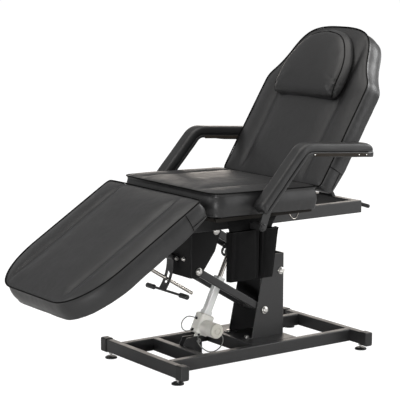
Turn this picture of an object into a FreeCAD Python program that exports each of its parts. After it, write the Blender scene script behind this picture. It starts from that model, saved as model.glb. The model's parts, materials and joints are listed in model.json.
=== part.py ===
import FreeCAD, Part
import math
import os

# Electric tattoo chair, in millimetres.
# X runs across the chair, -Y towards the foot end, +Z up, floor at zero.
# The origin lies on the floor under the middle of the base frame.

os.makedirs("parts", exist_ok=True)
V = FreeCAD.Vector

# General stock
overrun = 2.0
fit_gap = 0.3
running_gap = 0.05
weld_gap = 0.1
tube_height = 50.0
tube_width = 30.0
tube_wall = 2.0
tube_corner = 4.0
plate_thick = 5.0

# Base frame
base_length = 940.0
cross_tube_length = 562.0
rail_spacing = 334.0
floor_gap = 25.0
cap_wall = 3.0
cap_sleeve = 34.0
cap_edge = 2.0
foot_radius = 24.0
foot_height = 9.0
foot_inset = 47.0
stud_radius = 5.0
stud_reach = 12.0
foot_nut_radius = 9.5
foot_nut_height = 7.0

# Column and the lift linkage that it carries
link_width = 156.0
sheet_thick = 4.0
column_height = 333.0
column_back_y = 176.0
column_foot_depth = 163.0
column_top_depth = 93.0
column_plate_thick = 6.0
column_plate_front_y = -38.0
lower_pivot_y = 77.0
lower_pivot_z = 185.0
link_offset_y = 82.0
link_offset_z = 152.0
arm_length = 378.0
arm_rest_angle = 31.0
arm_height = 30.0
arm_width = 20.0
arm_cope = 8.0
arm_play = 2.0
sleeve_radius = 12.5
pivot_bolt_radius = 8.0
bolt_head_radius = 12.0
bolt_head_height = 8.0
washer_radius = 15.0
washer_thick = 2.5

# Linear actuator
clevis_pin_y = -205.0
clevis_pin_z = 87.0
clevis_pin_radius = 6.0
lug_station = 218.9
lug_drop = 31.47
actuator_tube_wide = 27.0
actuator_tube_deep = 33.0
actuator_tube_end = 266.0
actuator_collar = 15.0
actuator_collar_step = 3.0
actuator_rod_radius = 10.0
actuator_bore_start = 36.0
actuator_rod_start = 104.0
gearbox_start = 24.0
gearbox_length = 84.0
gearbox_wide = 58.0
gearbox_deep = 62.0
gearbox_round = 14.0
motor_station = 57.0
motor_radius = 29.5
motor_reach = 80.0
motor_cap_thick = 9.0
motor_cap_recess = 3.0
clevis_tongue_wide = 20.0
clevis_tongue_round = 12.0
lug_thick = 6.0
lug_window_along = 21.6
lug_window_across = 25.4
lug_window_round = 6.0
lug_window_offset = 5.9
lug_window_lower = 0.7
lug_round = 21.0
lug_bar_radius = 10.0
rod_head_radius = 15.0
actuator_cross_y = -292.0

# Seat carrier and seat frame, with places along the seat measured from the lower pivot of the carrier
carrier_head = 28.3
carrier_front_reach = 38.0
carrier_foot = 24.0
carrier_rear_reach = 22.0
seat_rail_spacing = 370.0
seat_frame_front = -118.0
seat_frame_rear = 722.0
seat_cross_front = -35.0
seat_cross_rear = 119.0

# Upholstery
cushion_width = 632.0
board_thick = 14.0
board_inset = 22.0
cushion_crown = 13.0
bolster_width = 118.0
channel_depth = 9.0
side_draw = 5.0
seat_front = -99.0
seat_rear = 393.0
seat_thick = 96.0
seat_corner = 46.0
back_angle = 58.3
back_foot = 405.0
back_foot_rise = 96.0
back_length = 705.0
back_thick = 73.0
leg_angle = 32.0
leg_head = -158.0
leg_head_rise = 95.0
leg_length = 640.0
leg_thick = 72.0
leg_corner_wide = 160.0
leg_corner_long = 230.0
frame_stock = 25.0

# Hinges of the backrest and the leg rest
back_hinge = 452.0
back_hinge_rise = 42.0
leg_hinge = -121.0
leg_hinge_rise = 8.0
hinge_tube_radius = 11.0
hinge_pin_radius = 7.0
hinge_ear_round = 17.0
leg_leaf_radius = 8.4
leg_pin_radius = 5.0

# Leg rest stay and its release lever
stay_x = -40.0
stay_radius = 7.0
stay_tail_reach = 102.0
stay_tail_drop = 158.0
stay_angle = 31.4
stay_length = 430.0
stay_guide_run = 134.0
lever_pivot_reach = 14.0
lever_pivot_rise = 45.3
lever_foot_reach = 36.0
lever_foot_drop = 122.0
lever_bend_reach = 10.0
lever_bend_drop = 73.0
lever_wide = 46.0
lever_thick = 4.0
lever_slot_low = 12.0
lever_slot_high = 33.0
lever_bar_radius = 5.0
lever_bar_near = 165.0
lever_bar_far = 110.0
lever_grip_radius = 10.0
lever_grip_length = 56.0

# Gas spring of the backrest
spring_anchor_station = 197.0
spring_anchor_drop = 33.0
spring_crank = 62.0
spring_crank_angle = -48.0
spring_body_radius = 11.0
spring_rod_radius = 5.0
spring_body_length = 178.0
spring_eye_radius = 10.0
spring_pin_radius = 4.0
spring_window_radius = 9.2
spring_window_along = 0.8
spring_window_across = 1.0
spring_lug_radius = 14.0

# Armrests
arm_pad_gap = 6.0
arm_pad_wide = 58.0
arm_pad_thick = 30.0
arm_board_thick = 13.0
arm_diagonal_angle = 47.5
arm_level_drop = 4.0
arm_foot_station = 89.0
arm_foot_rise = 45.0
arm_diagonal_length = 288.0
arm_level_length = 372.0
arm_bend_radius = 58.0
arm_pivot_station = 97.0
arm_pivot_drop = 25.0
arm_pivot_radius = 9.0
arm_strap_thick = 6.0
arm_strap_wide = 34.0

# Head pillow
pillow_low = 356.0
pillow_height = 303.0
pillow_width = 400.0
pillow_thick = 58.0
pillow_lift = 16.0

# Side bag
bag_panel_inset = 10.0
bag_panel_thick = 3.0
bag_front = -17.0
bag_rear = 207.0
bag_split = 113.0
bag_height = 190.0
bag_mouth_drop = 42.0
bag_depth = 30.0
bag_foot_depth = 22.0
bag_wall = 2.5
bag_flap_drop = 38.0
bag_post_clear = 9.0
bag_strap_wide = 24.0
bag_strap_lean = 18.0

# Rear stop, release lever and hanger loop
stop_wide = 92.0
stop_rise = 28.0
stop_thick = 14.0
back_lever_x = 150.0
back_lever_rod_radius = 4.0
back_lever_grip_radius = 8.0
back_lever_grip_length = 62.0
back_lever_drop = 19.0
hanger_station = 368.0
hanger_width = 55.0
hanger_drop = 34.0
hanger_wire_radius = 1.5

# Two loose leads of the motor, with their glands
lead_radius = 2.2
gland_radius = 4.5
gland_length = 7.0
loop_lead_points = [
    (-4.0, -199.2, 172.6), (-6.0, -220.0, 182.8), (-9.0, -244.0, 185.5), (-11.0, -264.0, 171.0),
    (-10.0, -270.5, 150.5), (-7.0, -262.0, 132.0), (-5.0, -239.5, 124.8), (-4.0, -219.4, 130.4)]
hanging_lead_points = [
    (23.0, -208.3, 115.1), (26.5, -217.5, 97.5), (27.5, -212.5, 76.0), (31.0, -192.0, 53.0),
    (37.0, -168.0, 38.0), (45.5, -143.0, 40.0), (52.5, -122.0, 56.0), (57.0, -114.0, 79.0),
    (60.0, -118.0, 99.0), (61.0, -136.0, 115.5), (61.5, -154.2, 124.5)]

# Worked-out places
tube_top_z = floor_gap + tube_height
base_half_y = base_length / 2
cross_half = cross_tube_length / 2
rail_inner_x = rail_spacing / 2 - tube_width / 2
link_half = link_width / 2
link_inner = link_half - sheet_thick
arm_outer_x = link_inner - arm_play
arm_inner_x = arm_outer_x - arm_width
arm_rad = math.radians(arm_rest_angle)
upper_pivot_y = lower_pivot_y + link_offset_y
upper_pivot_z = lower_pivot_z + link_offset_z
carrier_low_y = lower_pivot_y - arm_length * math.cos(arm_rad)
carrier_low_z = lower_pivot_z + arm_length * math.sin(arm_rad)
carrier_up_y = carrier_low_y + link_offset_y
carrier_up_z = carrier_low_z + link_offset_z
seat_rail_low_z = carrier_up_z + carrier_head
seat_rail_top_z = seat_rail_low_z + tube_height
seat_rail_x = seat_rail_spacing / 2
seat_rail_inner_x = seat_rail_x - tube_width / 2
seat_rail_outer_x = seat_rail_x + tube_width / 2
cushion_half = cushion_width / 2
board_half = cushion_half - board_inset
seat_board_top_z = seat_rail_top_z + board_thick
carrier_front_y = carrier_low_y - carrier_front_reach
lug_pin_y = upper_pivot_y - lug_station * math.cos(arm_rad) - lug_drop * math.sin(arm_rad)
lug_pin_z = upper_pivot_z + lug_station * math.sin(arm_rad) - lug_drop * math.cos(arm_rad)
actuator_rad = math.atan2(lug_pin_z - clevis_pin_z, lug_pin_y - clevis_pin_y)
actuator_length = math.hypot(lug_pin_y - clevis_pin_y, lug_pin_z - clevis_pin_z)
seat_frame_front_y = carrier_low_y + seat_frame_front
seat_frame_rear_y = carrier_low_y + seat_frame_rear
seat_cross_front_y = carrier_low_y + seat_cross_front
seat_cross_rear_y = carrier_low_y + seat_cross_rear
seat_front_y = carrier_low_y + seat_front
seat_rear_y = carrier_low_y + seat_rear
back_foot_y = carrier_low_y + back_foot
back_foot_z = seat_rail_top_z + back_foot_rise
leg_head_y = carrier_low_y + leg_head
leg_head_z = seat_rail_top_z + leg_head_rise
back_hinge_y = carrier_low_y + back_hinge
back_hinge_z = seat_rail_top_z + back_hinge_rise
leg_hinge_y = carrier_low_y + leg_hinge
leg_hinge_z = seat_rail_top_z + leg_hinge_rise
lever_pivot_y = carrier_front_y - lever_pivot_reach
lever_pivot_z = carrier_low_z + lever_pivot_rise
lever_foot_y = lever_pivot_y - lever_foot_reach
lever_foot_z = lever_pivot_z - lever_foot_drop
lever_bend_y = lever_pivot_y - lever_bend_reach
lever_bend_z = lever_pivot_z - lever_bend_drop
stay_tail_y = lever_pivot_y + stay_tail_reach
stay_tail_z = lever_pivot_z - stay_tail_drop
spring_anchor_y = carrier_low_y + spring_anchor_station
spring_anchor_z = seat_rail_top_z - spring_anchor_drop
arm_pad_inner_x = cushion_half + arm_pad_gap
arm_foot_y = carrier_low_y + arm_foot_station
arm_foot_z = seat_rail_top_z + arm_foot_rise
arm_pivot_y = carrier_low_y + arm_pivot_station
arm_pivot_z = seat_rail_top_z - arm_pivot_drop
bag_panel_x = board_half - bag_panel_inset
bag_front_y = carrier_low_y + bag_front
bag_rear_y = carrier_low_y + bag_rear
bag_split_y = carrier_low_y + bag_split
bag_mouth_z = seat_rail_top_z - bag_mouth_drop
bag_low_z = bag_mouth_z - bag_height
hanger_y = carrier_low_y + hanger_station
stay_rad = math.radians(stay_angle)
stay_pivot_y = stay_tail_y - stay_length * math.cos(stay_rad)
stay_pivot_z = stay_tail_z + stay_length * math.sin(stay_rad)
stay_guide_y = stay_tail_y - stay_guide_run * math.cos(stay_rad)
stay_guide_z = stay_tail_z + stay_guide_run * math.sin(stay_rad)
spring_rad = math.radians(spring_crank_angle)
spring_lug_y = back_hinge_y + spring_crank * math.cos(spring_rad)
spring_lug_z = back_hinge_z + spring_crank * math.sin(spring_rad)
column_plate_rear_y = column_back_y + sheet_thick
bag_back_x = bag_panel_x + bag_panel_thick


# Plain building blocks

def block(x0, x1, y0, y1, z0, z1):
    return Part.makeBox(x1 - x0, y1 - y0, z1 - z0, V(x0, y0, z0))


def pin_x(x0, x1, y, z, radius):
    return Part.makeCylinder(radius, x1 - x0, V(x0, y, z), V(1, 0, 0))


def rod(start, end, radius):
    run = end - start
    return Part.makeCylinder(radius, run.Length, start, run)


def fuse_all(shapes):
    body = shapes[0]
    if len(shapes) > 1:
        body = body.fuse(shapes[1:])
    return body.removeSplitter()


def group(shapes):
    return Part.makeCompound(shapes)


def rounded_rectangle(wide, high, radius):
    half_w = wide / 2
    half_h = high / 2
    cut = radius * (1 - math.sqrt(0.5))
    edges = []
    corners = [(1, -1), (1, 1), (-1, 1), (-1, -1)]
    for index, (sx, sy) in enumerate(corners):
        side = V(sx * half_w, sy * (half_h - radius), 0)
        end = V(sx * (half_w - radius), sy * half_h, 0)
        middle = V(sx * (half_w - cut), sy * (half_h - cut), 0)
        if index % 2 == 0:
            arc = Part.Arc(end, middle, side)
            first, last = end, side
        else:
            arc = Part.Arc(side, middle, end)
            first, last = side, end
        edges.append((arc.toShape(), first, last))
    wire = []
    for index, (arc, first, last) in enumerate(edges):
        wire.append(arc)
        following = edges[(index + 1) % len(edges)][1]
        wire.append(Part.LineSegment(last, following).toShape())
    return Part.Wire(Part.__sortEdges__(wire))


def set_along(shape, start, along, across):
    up = along.cross(across)
    matrix = FreeCAD.Matrix(
        across.x, up.x, along.x, start.x,
        across.y, up.y, along.y, start.y,
        across.z, up.z, along.z, start.z,
        0, 0, 0, 1)
    placed = shape.copy()
    placed.Placement = FreeCAD.Placement(matrix)
    return placed


def bar_stock(start, end, wide, high, wall, corner, across):
    run = end - start
    face = Part.Face(rounded_rectangle(wide, high, corner))
    solid = face.extrude(V(0, 0, run.Length))
    if wall:
        inner_corner = max(corner - wall, corner / 4)
        core = Part.Face(rounded_rectangle(wide - 2 * wall, high - 2 * wall, inner_corner))
        hollow = core.extrude(V(0, 0, run.Length + 2 * overrun))
        hollow.translate(V(0, 0, -overrun))
        solid = solid.cut(hollow)
    return set_along(solid, start, run.normalize(), across)


def tube_x(x0, x1, y, z):
    return bar_stock(V(x0, y, z), V(x1, y, z), tube_width, tube_height, tube_wall, tube_corner, V(0, 1, 0))


def tube_y(x, y0, y1, z):
    return bar_stock(V(x, y0, z), V(x, y1, z), tube_width, tube_height, tube_wall, tube_corner, V(1, 0, 0))


def side_plate(points, x0, x1, holes=()):
    corners = [V(x0, y, z) for y, z in points]
    plate = Part.Face(Part.makePolygon(corners + corners[:1])).extrude(V(x1 - x0, 0, 0))
    for y, z, radius in holes:
        plate = plate.cut(pin_x(x0 - overrun, x1 + overrun, y, z, radius))
    return plate


def link_plate(x0, x1, first, second, radius, holes=()):
    (y0, z0), (y1, z1) = first, second
    run = V(0, y1 - y0, z1 - z0).normalize()
    side = V(0, -run.z, run.y) * radius
    ends = [V(x0, y0, z0), V(x0, y1, z1)]
    corners = [ends[0] + side, ends[1] + side, ends[1] - side, ends[0] - side]
    plate = Part.Face(Part.makePolygon(corners + corners[:1])).extrude(V(x1 - x0, 0, 0))
    plate = fuse_all([plate, pin_x(x0, x1, y0, z0, radius), pin_x(x0, x1, y1, z1, radius)])
    for y, z, hole in holes:
        plate = plate.cut(pin_x(x0 - overrun, x1 + overrun, y, z, hole))
    return plate


def turned_x(profile, y, z):
    corners = [V(x, y, z + radius) for x, radius in profile]
    corners = [V(profile[0][0], y, z)] + corners + [V(profile[-1][0], y, z)]
    face = Part.Face(Part.makePolygon(corners + corners[:1]))
    return face.revolve(V(0, y, z), V(1, 0, 0), 360)


def pivot_bolt(half_grip, y, z, shank):
    dome_share = 0.62
    half = [
        (half_grip + washer_thick + bolt_head_height, bolt_head_radius * dome_share),
        (half_grip + washer_thick + bolt_head_height * dome_share, bolt_head_radius),
        (half_grip + washer_thick, bolt_head_radius),
        (half_grip + washer_thick, washer_radius),
        (half_grip, washer_radius),
        (half_grip, shank)]
    profile = [(-x, radius) for x, radius in half] + half[::-1]
    return turned_x(profile, y, z)


def smooth_tube(points, radius):
    corners = [V(*point) for point in points]
    edges = []
    radii = []
    last = corners[0]
    for index in range(1, len(corners) - 1):
        before = corners[index] - corners[index - 1]
        after = corners[index + 1] - corners[index]
        turn = before.getAngle(after)
        setback = 0.45 * min(before.Length, after.Length)
        radii.append(setback / math.tan(turn / 2))
        into = V(before).normalize()
        out = V(after).normalize()
        start = corners[index] - into * setback
        end = corners[index] + out * setback
        bisector = (out - into).normalize()
        centre = corners[index] + bisector * (radii[-1] / math.cos(turn / 2))
        middle = centre - bisector * radii[-1]
        edges.append(Part.LineSegment(last, start).toShape())
        edges.append(Part.Arc(start, middle, end).toShape())
        last = end
    edges.append(Part.LineSegment(last, corners[-1]).toShape())
    path = Part.Wire(edges)
    length = path.Length
    ring = Part.Wire(Part.Circle(corners[0], corners[1] - corners[0], radius).toShape())
    tube = path.makePipeShell([ring], True, False, 0)
    expected = math.pi * radius ** 2 * length
    print("lead length %.1f, radii %s, volume ratio %.4f" % (
        length, ["%.1f" % value for value in radii], tube.Volume / expected))
    return tube


# Upholstered forms, drawn flat with the piping at height zero

def arc_through(first, middle, last):
    return Part.Arc(first, middle, last).toShape()


def cushion_section(station, half, deep, crown, channel, bolster):
    gutter = half - bolster
    dip = crown - channel
    foot = half - side_draw
    mid = half - side_draw * 1.6
    low_right, low_left = V(foot, station, -deep), V(-foot, station, -deep)
    edge_right, edge_left = V(half, station, 0), V(-half, station, 0)
    gutter_right, gutter_left = V(gutter, station, dip), V(-gutter, station, dip)
    bolster_mid = (half + gutter) / 2
    edges = [
        Part.LineSegment(low_left, low_right).toShape(),
        arc_through(low_right, V(mid, station, -deep / 2), edge_right),
        arc_through(edge_right, V(bolster_mid, station, crown), gutter_right),
        arc_through(gutter_right, V(0, station, crown + channel / 2), gutter_left),
        arc_through(gutter_left, V(-bolster_mid, station, crown), edge_left),
        arc_through(edge_left, V(-mid, station, -deep / 2), low_left)]
    return Part.Wire(edges)


def cushion_form(stations, deep, crown, channel, bolster):
    wires = []
    for place, half, fullness in stations:
        width_left = min(bolster, half * 0.45)
        wires.append(cushion_section(place, half, deep, crown * fullness, channel * fullness, width_left))
    return Part.makeLoft(wires, True, True)


def tilt_to(shape, y, z, angle):
    placed = shape.copy()
    placed.rotate(V(0, 0, 0), V(1, 0, 0), angle)
    placed.translate(V(0, y, z))
    return placed


# Places on a cushion's own plane, turned to the chair's axes

def on_back(along, height):
    turn = math.radians(back_angle)
    y = back_foot_y + along * math.cos(turn) - height * math.sin(turn)
    z = back_foot_z + along * math.sin(turn) + height * math.cos(turn)
    return y, z


def on_leg(along, height):
    turn = math.radians(leg_angle)
    y = leg_head_y - along * math.cos(turn) - height * math.sin(turn)
    z = leg_head_z - along * math.sin(turn) + height * math.cos(turn)
    return y, z


parts = {}

# Base frame

tube_mid_z = floor_gap + tube_height / 2
end_tube_y = base_half_y - tube_width / 2


def foot_places():
    foot_x = cross_half - foot_inset
    return [(side * foot_x, end * end_tube_y) for side in (-1, 1) for end in (-1, 1)]


def end_tube(y):
    tube = tube_x(-cross_half, cross_half, y, tube_mid_z)
    for x, foot_y in foot_places():
        if abs(foot_y - y) < tube_width:
            drill = Part.makeCylinder(stud_radius + fit_gap, tube_wall + 2 * overrun, V(x, y, floor_gap - overrun))
            tube = tube.cut(drill)
    return tube


parts["base_end_tubes"] = group([end_tube(-end_tube_y), end_tube(end_tube_y)])
rail_end_y = base_half_y - tube_width
parts["base_rails"] = group([
    tube_y(side * rail_spacing / 2, -rail_end_y, rail_end_y, tube_mid_z) for side in (1, -1)])


def end_cap(side, y):
    shell_w = tube_width + 2 * (cap_wall + fit_gap)
    shell_h = tube_height + 2 * (cap_wall + fit_gap)
    inner_w = tube_width + 2 * fit_gap
    inner_h = tube_height + 2 * fit_gap
    tip = cross_half + fit_gap + cap_wall
    start = cross_half - cap_sleeve
    corner = tube_corner + cap_wall
    outer = bar_stock(V(start, y, tube_mid_z), V(tip, y, tube_mid_z), shell_w, shell_h, 0, corner, V(0, 1, 0))
    rim = [edge for edge in outer.Edges if edge.BoundBox.XMin > tip - fit_gap]
    outer = outer.makeChamfer(cap_edge, rim)
    inner = bar_stock(
        V(start - overrun, y, tube_mid_z), V(cross_half + fit_gap, y, tube_mid_z),
        inner_w, inner_h, 0, tube_corner, V(0, 1, 0))
    cap = outer.cut(inner)
    if side < 0:
        cap = cap.mirror(V(0, 0, 0), V(1, 0, 0))
    return cap


parts["base_end_caps"] = group([end_cap(side, end * end_tube_y) for side in (-1, 1) for end in (-1, 1)])

foot_crown_share = 0.7


def foot_disc(x, y):
    crown = foot_radius * foot_crown_share
    points = [
        V(0, 0, 0), V(foot_radius, 0, 0), V(foot_radius, 0, foot_height / 2),
        V(crown, 0, foot_height), V(0, 0, foot_height)]
    disc = Part.Face(Part.makePolygon(points + points[:1])).revolve(V(0, 0, 0), V(0, 0, 1), 360)
    disc.translate(V(x, y, 0))
    return disc


def foot_stud(x, y):
    nut = Part.makeCylinder(foot_nut_radius, foot_nut_height, V(x, y, floor_gap - foot_nut_height))
    six = Part.Face(Part.makePolygon([
        V(foot_nut_radius * math.cos(math.radians(step * 60)), foot_nut_radius * math.sin(math.radians(step * 60)), 0)
        for step in range(7)])).extrude(V(0, 0, foot_nut_height))
    six.translate(V(x, y, floor_gap - foot_nut_height))
    shank = Part.makeCylinder(stud_radius, floor_gap + tube_wall + stud_reach - foot_height, V(x, y, foot_height))
    return fuse_all([nut.common(six), shank])


parts["levelling_feet"] = group([foot_disc(x, y) for x, y in foot_places()])
parts["foot_studs"] = group([foot_stud(x, y) for x, y in foot_places()])

column_tube_y = column_plate_rear_y - tube_width / 2
column_tube_z = tube_top_z - column_plate_thick - tube_width / 2
actuator_cross_tube = tube_x(-rail_inner_x, rail_inner_x, actuator_cross_y, tube_mid_z)
column_cross_tube = bar_stock(
    V(-rail_inner_x, column_tube_y, column_tube_z), V(rail_inner_x, column_tube_y, column_tube_z),
    tube_width, tube_width, tube_wall, tube_corner, V(0, 1, 0))
parts["base_cross_tubes"] = group([actuator_cross_tube, column_cross_tube])


def column_plate():
    top = block(
        -rail_inner_x, rail_inner_x, column_plate_front_y, column_plate_rear_y,
        tube_top_z - column_plate_thick, tube_top_z)
    flange = block(
        -rail_inner_x, rail_inner_x, column_plate_front_y, column_plate_front_y + column_plate_thick,
        floor_gap, tube_top_z)
    plate = fuse_all([top, flange])
    front = [
        edge for edge in plate.Edges
        if edge.BoundBox.YMax < column_plate_front_y + fit_gap and edge.BoundBox.ZMin > tube_top_z - fit_gap]
    return plate.makeFillet(column_plate_thick / 2, front)


parts["column_plate"] = column_plate()

# Column, a folded sheet open to the front

column_top_z = tube_top_z + column_height
column_foot_front_y = column_back_y - column_foot_depth
column_top_front_y = column_back_y - column_top_depth
column_outline = [
    (column_foot_front_y, tube_top_z), (column_back_y, tube_top_z),
    (column_back_y, column_top_z), (column_top_front_y, column_top_z)]


def column():
    holes = [(lower_pivot_y, lower_pivot_z), (upper_pivot_y, upper_pivot_z)]
    shell = side_plate(column_outline, -link_half, link_half)
    rear = [
        edge for edge in shell.Edges
        if edge.BoundBox.YMin > column_back_y - fit_gap and edge.BoundBox.ZLength > column_height / 2]
    shell = shell.makeFillet(sheet_thick * 2, rear)
    inner = [
        (column_foot_front_y - column_foot_depth, tube_top_z - overrun),
        (column_back_y - sheet_thick, tube_top_z - overrun),
        (column_back_y - sheet_thick, column_top_z + overrun),
        (column_foot_front_y - column_foot_depth, column_top_z + overrun)]
    core = side_plate(inner, -link_inner, link_inner)
    core_rear = [
        edge for edge in core.Edges
        if edge.BoundBox.YMin > column_back_y - sheet_thick - fit_gap
        and edge.BoundBox.ZLength > column_height / 2]
    core = core.makeFillet(sheet_thick, core_rear)
    shell = shell.cut(core)
    for y, z in holes:
        shell = shell.cut(pin_x(-link_half - overrun, link_half + overrun, y, z, pivot_bolt_radius + weld_gap))
    return shell


tab_wide = link_inner * 0.36
tab_front_y = column_foot_front_y - tab_wide
tab_rear_y = column_foot_front_y + tab_wide


def column_tabs():
    tabs = []
    for side in (-1, 1):
        x0, x1 = sorted((side * link_inner, side * (link_inner - tab_wide)))
        tabs.append(block(x0, x1, tab_front_y, tab_rear_y, tube_top_z, tube_top_z + sheet_thick))
    return tabs


parts["column"] = fuse_all([column()] + column_tabs())


def tab_bolts():
    bolts = []
    for side in (-1, 1):
        x = side * (link_inner - tab_wide / 2)
        y = tab_front_y + tab_wide / 2
        head = Part.makeCylinder(bolt_head_radius * 0.7, bolt_head_height, V(x, y, tube_top_z + sheet_thick))
        bolts.append(head)
    return bolts


parts["column_bolts"] = group(tab_bolts() + [
    pivot_bolt(link_half, lower_pivot_y, lower_pivot_z, pivot_bolt_radius),
    pivot_bolt(link_half, upper_pivot_y, upper_pivot_z, pivot_bolt_radius)])

# Lift arms, two pairs of rectangular tubes on cross sleeves

arm_run = V(0, -math.cos(arm_rad), math.sin(arm_rad))


def lift_arm(side, y, z):
    middle_x = side * (arm_inner_x + arm_width / 2)
    start = V(middle_x, y, z) + arm_run * arm_cope
    end = V(middle_x, y, z) + arm_run * (arm_length - arm_cope)
    arm = bar_stock(start, end, arm_width, arm_height, tube_wall, tube_corner, V(1, 0, 0))
    for run in (0, arm_length):
        centre = V(0, y, z) + arm_run * run
        arm = arm.cut(pin_x(
            middle_x - arm_width, middle_x + arm_width, centre.y, centre.z, sleeve_radius + weld_gap))
    return arm


def arm_sleeves(y, z):
    sleeves = []
    for run in (0, arm_length):
        centre = V(0, y, z) + arm_run * run
        sleeve = pin_x(-arm_outer_x, arm_outer_x, centre.y, centre.z, sleeve_radius)
        bore = pin_x(
            -arm_outer_x - overrun, arm_outer_x + overrun, centre.y, centre.z, pivot_bolt_radius + running_gap)
        sleeves.append(sleeve.cut(bore))
    return group(sleeves)


for label, y, z in (("lower", lower_pivot_y, lower_pivot_z), ("upper", upper_pivot_y, upper_pivot_z)):
    parts[label + "_arm_pair"] = group([lift_arm(1, y, z), lift_arm(-1, y, z)])
    parts[label + "_arm_sleeves"] = arm_sleeves(y, z)

# Lug under the upper arms that takes the push of the actuator

actuator_axis = V(0, math.cos(actuator_rad), math.sin(actuator_rad))
actuator_front = V(0, -math.sin(actuator_rad), math.cos(actuator_rad))
lug_offset = V(0, lug_pin_y - upper_pivot_y, lug_pin_z - upper_pivot_z)
lug_along = lug_offset.dot(arm_run)
lug_inner_x = clevis_tongue_wide / 2 + arm_play
lug_foot = V(0, upper_pivot_y, upper_pivot_z) + arm_run * lug_along


def actuator_lug():
    cross = pin_x(-arm_inner_x + weld_gap, arm_inner_x - weld_gap, lug_foot.y, lug_foot.z, lug_bar_radius)
    centre = V(0, lug_pin_y, lug_pin_z) - actuator_axis * lug_window_lower + actuator_front * lug_window_offset
    pieces = [cross]
    for side in (-1, 1):
        x0, x1 = sorted((side * lug_inner_x, side * (lug_inner_x + lug_thick)))
        pieces.append(link_plate(x0, x1, (lug_foot.y, lug_foot.z), (centre.y, centre.z), lug_round))
    lug = fuse_all(pieces)
    reach = V(lug_inner_x + lug_thick + overrun, 0, 0)
    window = bar_stock(
        centre - reach, centre + reach, lug_window_across, lug_window_along, 0, lug_window_round, actuator_front)
    return lug.cut(window)


parts["actuator_lug"] = actuator_lug()

# Linear actuator, drawn along its own axis from the clevis pin

clevis_centre = V(0, clevis_pin_y, clevis_pin_z)


def on_actuator(run):
    return clevis_centre + actuator_axis * run


def actuator_bracket():
    rear_y = clevis_pin_y + clevis_tongue_round + plate_thick
    front_y = actuator_cross_y + tube_width / 2
    inner = clevis_tongue_wide / 2 + arm_play
    outer = inner + plate_thick
    low_z = floor_gap + plate_thick
    top_z = clevis_pin_z + clevis_tongue_round + plate_thick
    shape = [(front_y, low_z), (rear_y, low_z), (rear_y, top_z), (front_y + tube_width / 2, top_z),
             (front_y, tube_top_z)]
    hole = [(clevis_pin_y, clevis_pin_z, clevis_pin_radius + weld_gap)]
    plates = [side_plate(shape, inner, outer, hole), side_plate(shape, -outer, -inner, hole)]
    web = block(-outer, outer, front_y, rear_y, low_z, low_z + plate_thick)
    return fuse_all(plates + [web])


parts["actuator_bracket"] = actuator_bracket()
bracket_outer = clevis_tongue_wide / 2 + arm_play + plate_thick
pin_head = clevis_pin_radius * 1.5
pin_tip = bracket_outer + plate_thick / 2
parts["actuator_clevis_pin"] = turned_x(
    [(-pin_tip, pin_head), (-bracket_outer, pin_head), (-bracket_outer, clevis_pin_radius),
     (bracket_outer, clevis_pin_radius), (bracket_outer, pin_head), (pin_tip, pin_head)],
    clevis_pin_y, clevis_pin_z)


def gearbox():
    start = on_actuator(gearbox_start)
    end = on_actuator(gearbox_start + gearbox_length)
    housing = bar_stock(start, end, gearbox_wide, gearbox_deep, 0, gearbox_round, V(1, 0, 0))
    rims = [edge for edge in housing.Edges if abs(edge.BoundBox.XLength) > 0]
    housing = housing.makeChamfer(gearbox_round / 3, rims)
    tongue = bar_stock(
        clevis_centre, on_actuator(gearbox_start + overrun), clevis_tongue_wide, 2 * clevis_tongue_round, 0,
        clevis_tongue_round / 3, V(1, 0, 0))
    knuckle = pin_x(-clevis_tongue_wide / 2, clevis_tongue_wide / 2, clevis_pin_y, clevis_pin_z, clevis_tongue_round)
    body = fuse_all([housing, tongue, knuckle])
    bore = pin_x(
        -clevis_tongue_wide, clevis_tongue_wide, clevis_pin_y, clevis_pin_z, clevis_pin_radius + running_gap)
    screw = rod(
        on_actuator(actuator_bore_start), on_actuator(gearbox_start + gearbox_length + overrun),
        actuator_rod_radius + running_gap)
    return body.cut([bore, screw])


parts["actuator_gearbox"] = gearbox()


def motor():
    centre = on_actuator(motor_station)
    start = gearbox_wide / 2
    barrel = pin_x(start, start + motor_reach - motor_cap_thick, centre.y, centre.z, motor_radius)
    groove = pin_x(
        start + motor_reach / 2, start + motor_reach / 2 + motor_cap_recess,
        centre.y, centre.z, motor_radius * 1.1)
    groove = groove.cut(pin_x(start, start + motor_reach, centre.y, centre.z, motor_radius * 0.97))
    return barrel.cut(groove)


parts["actuator_motor"] = motor()


def motor_cap():
    centre = on_actuator(motor_station)
    start = gearbox_wide / 2 + motor_reach - motor_cap_thick
    tip = start + motor_cap_thick
    ring_share = 0.55
    hub_share = 0.34
    profile = [
        (start, motor_radius), (tip - motor_cap_recess, motor_radius), (tip, motor_radius - motor_cap_recess),
        (tip, motor_radius * ring_share), (tip - motor_cap_recess, motor_radius * ring_share),
        (tip - motor_cap_recess, motor_radius * hub_share), (tip, motor_radius * hub_share)]
    return turned_x(profile, centre.y, centre.z)


parts["motor_cap"] = motor_cap()


def actuator_tube():
    start = gearbox_start + gearbox_length
    body = bar_stock(
        on_actuator(start), on_actuator(actuator_tube_end), actuator_tube_wide, actuator_tube_deep, 0,
        actuator_tube_wide / 4, V(1, 0, 0))
    foot = bar_stock(
        on_actuator(start), on_actuator(start + actuator_collar), actuator_tube_wide + 2 * actuator_collar_step,
        actuator_tube_deep + 2 * actuator_collar_step, 0, actuator_tube_wide / 4, V(1, 0, 0))
    collar = bar_stock(
        on_actuator(actuator_tube_end - actuator_collar), on_actuator(actuator_tube_end),
        actuator_tube_wide + 2 * actuator_collar_step, actuator_tube_deep + 2 * actuator_collar_step, 0,
        actuator_tube_wide / 4, V(1, 0, 0))
    bore = rod(
        on_actuator(start - overrun), on_actuator(actuator_tube_end + overrun), actuator_rod_radius + running_gap)
    return fuse_all([body, foot, collar]).cut(bore)


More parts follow.
